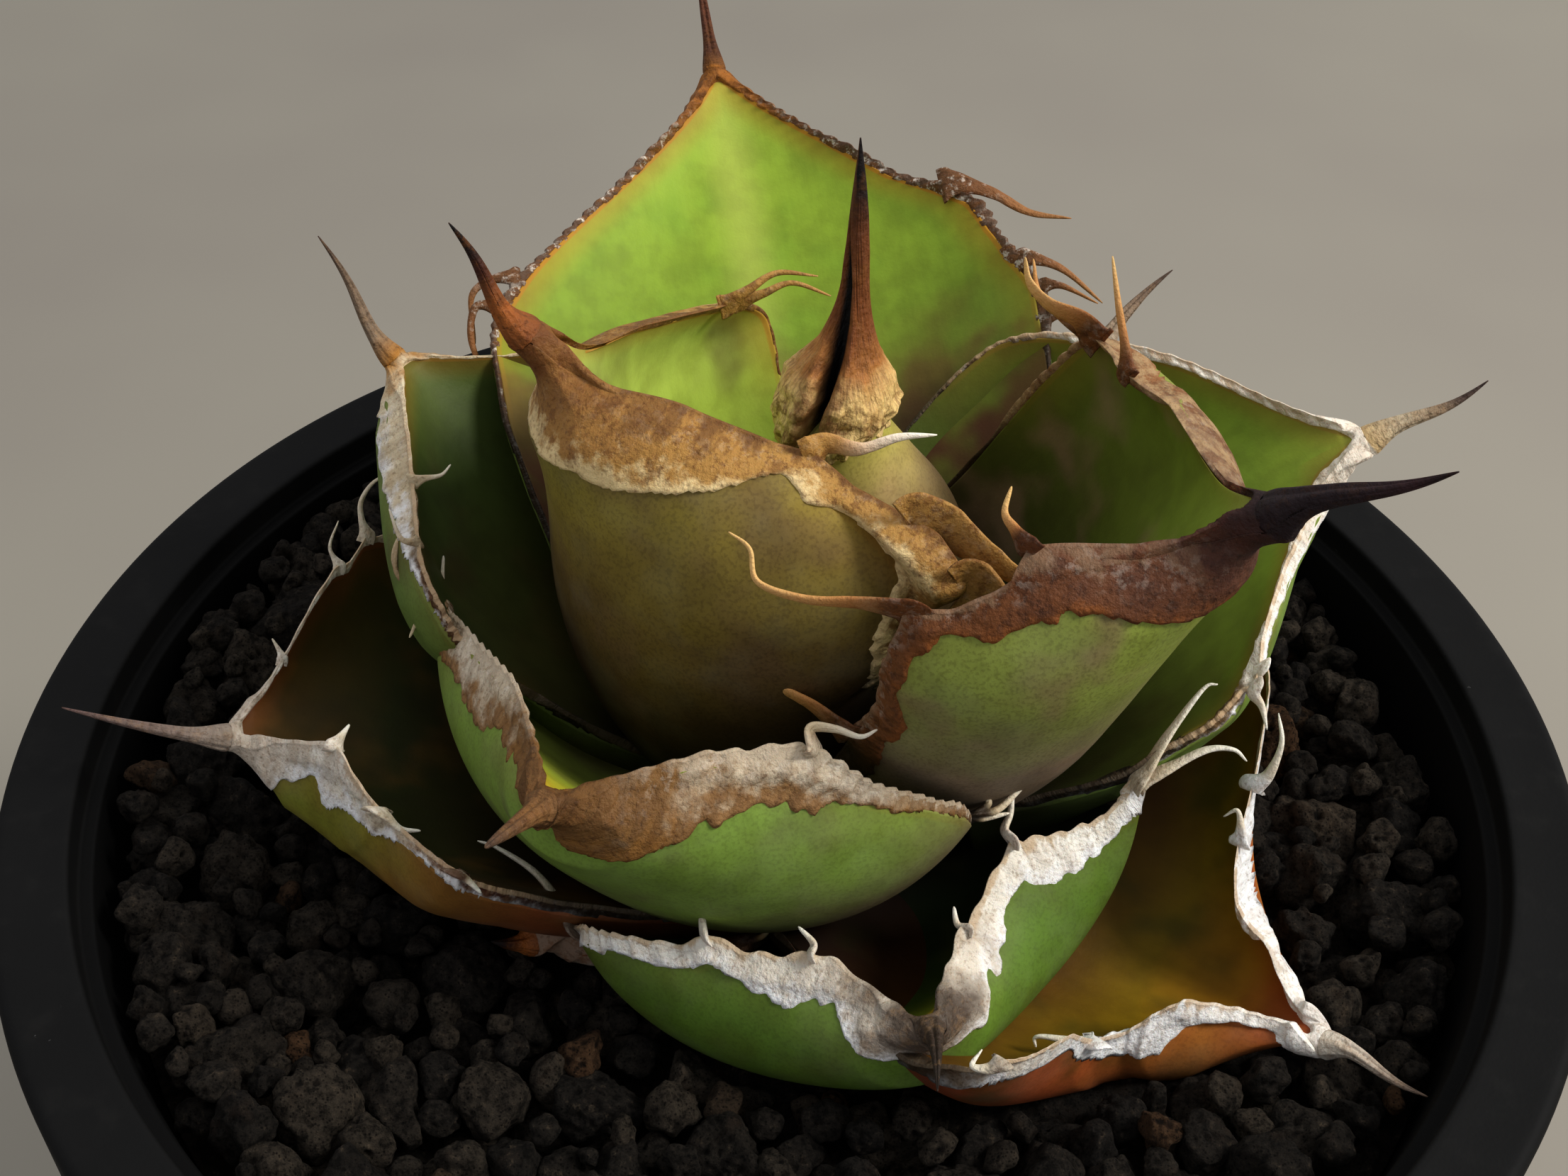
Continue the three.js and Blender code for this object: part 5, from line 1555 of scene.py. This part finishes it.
def make_pot():
    skirt = POT_HEIGHT - LIP_DROP
    ledge = POT_HEIGHT - STEP_DEPTH
    slope = (BODY_TOP_RADIUS - BODY_BASE_RADIUS) / skirt
    profile = [(0.01, 0), (BODY_BASE_RADIUS - 1, 0)]
    profile += arc((BODY_BASE_RADIUS - 1, 1), 1, -90, 0)
    profile += [(BODY_BASE_RADIUS + slope * z, z) for z in np.linspace(3, skirt - 0.6, 12)]
    profile += arc((BODY_TOP_RADIUS + 0.6, skirt - 0.6), 0.6, 180, 90, 4)
    profile += arc((RIM_RADIUS - 0.5, skirt + 0.5), 0.5, -90, 0)
    profile += arc((RIM_RADIUS - 0.9, POT_HEIGHT - 0.9), 0.9, 0, 90, 7)
    for t in np.linspace(0.1, 0.9, 6):
        profile.append((mix(RIM_RADIUS - 0.9, LIP_RADIUS + 0.4, t), POT_HEIGHT - 0.06 * np.sin(np.pi * t)))
    profile += arc((LIP_RADIUS + 0.4, POT_HEIGHT - 0.4), 0.4, 90, 180)
    profile += arc((LIP_RADIUS - 0.3, ledge + 0.3), 0.3, 0, -90, 4)
    profile += arc((inner_radius(ledge) + 0.3, ledge - 0.3), 0.3, 90, 180, 4)
    profile += [(inner_radius(z), z) for z in np.linspace(ledge - 2, FLOOR_THICKNESS + 1, 14)]
    profile += arc((inner_radius(FLOOR_THICKNESS) - 1, FLOOR_THICKNESS + 1), 1, 0, -90)
    profile += [(0.01, FLOOR_THICKNESS)]
    angle = np.linspace(0, 2 * np.pi, 240, endpoint=False)
    r, z = np.array(profile).T[..., None]
    shape = Shape()
    shape.rings(polar(r, angle, z)[::-1])
    drill(build("pot_body", shape, plastic_material("pot_plastic"), "pot"))


def drill(pot):
    """Cuts the drain holes through the pot's floor."""
    holes = Shape()
    angle = np.linspace(0, 2 * np.pi, 32, endpoint=False)
    for i in range(DRAIN_HOLES):
        x, y, _ = heading(i * 360 / DRAIN_HOLES) * DRAIN_CIRCLE
        holes.rings(np.stack([polar(DRAIN_RADIUS, angle, z) + [x, y, 0] for z in (-6, 9)]))
    cutter = new_object("drill", holes)
    cut = pot.modifiers.new("drain", "BOOLEAN")
    cut.operation, cut.object, cut.solver = "DIFFERENCE", cutter, "EXACT"
    bpy.context.view_layer.update()
    drilled = bpy.data.meshes.new_from_object(pot.evaluated_get(bpy.context.evaluated_depsgraph_get()))
    pot.modifiers.remove(cut)
    pot.data = drilled
    bpy.data.objects.remove(cutter)


# ---- Stage ----

LENS = 42.31
CAMERA_PLACE = Vector((-0.8, -99.8, 210.1)) * MM
CAMERA_PITCH = 42.15  # looking down
CAMERA_ROLL = 0.95
FLOOR_HALF = 3000
LIGHT_AIM = (0, 0, 0.12)  # in metres, as the places of the lights
SKY_COLOUR = (0.95, 0.96, 1.0, 1)
SKY_STRENGTH = 0.42
EXPOSURE = 0.5
GAMMA = 0.86


def make_camera():
    pitch, roll = np.radians(CAMERA_PITCH), np.radians(CAMERA_ROLL)
    forward = np.array([0, np.cos(pitch), -np.sin(pitch)])
    right = np.array([1.0, 0, 0])
    up = np.cross(right, forward)
    right, up = np.cos(roll) * right + np.sin(roll) * up, np.cos(roll) * up - np.sin(roll) * right
    data = bpy.data.cameras.new("camera")
    data.lens, data.sensor_width, data.clip_start = LENS, 36, 0.005
    camera = bpy.data.objects.new("camera", data)
    turned = Matrix(np.stack([right, up, -forward], 1).tolist()).to_4x4()
    camera.matrix_world = Matrix.Translation(CAMERA_PLACE) @ turned
    bpy.context.scene.collection.objects.link(camera)
    bpy.context.scene.camera = camera


def area_light(name, place, size, power, colour):
    data = bpy.data.lights.new(name, "AREA")
    data.shape, data.size, data.energy, data.color = "DISK", size, power, colour
    light = bpy.data.objects.new(name, data)
    light.location = place
    light.rotation_euler = (Vector(LIGHT_AIM) - Vector(place)).to_track_quat("-Z", "Y").to_euler()
    bpy.context.scene.collection.objects.link(light)


def make_stage():
    shape = Shape()
    corners = FLOOR_HALF * np.array([[-1, -1, 0], [1, -1, 0], [1, 1, 0], [-1, 1, 0]])
    shape.add(corners, [[0, 1, 2, 3]])
    new_object("floor", shape, floor_material("floor"))

    world = bpy.data.worlds.new("studio")
    world.use_nodes = True
    background = world.node_tree.nodes["Background"]
    background.inputs["Color"].default_value = SKY_COLOUR
    background.inputs["Strength"].default_value = SKY_STRENGTH
    bpy.context.scene.world = world
    area_light("key", (0.6, -0.05, 0.62), 0.28, 3.7, (1.0, 0.965, 0.91))
    area_light("fill", (-0.1, 0.3, 0.85), 0.4, 0.6, (1.0, 0.98, 0.95))
    scene = bpy.context.scene
    scene.view_settings.view_transform = "Standard"
    scene.view_settings.exposure = EXPOSURE
    scene.view_settings.gamma = GAMMA


make_stage()
make_camera()
make_leaves()
make_bud()
make_stem()
make_soil()
make_pot()
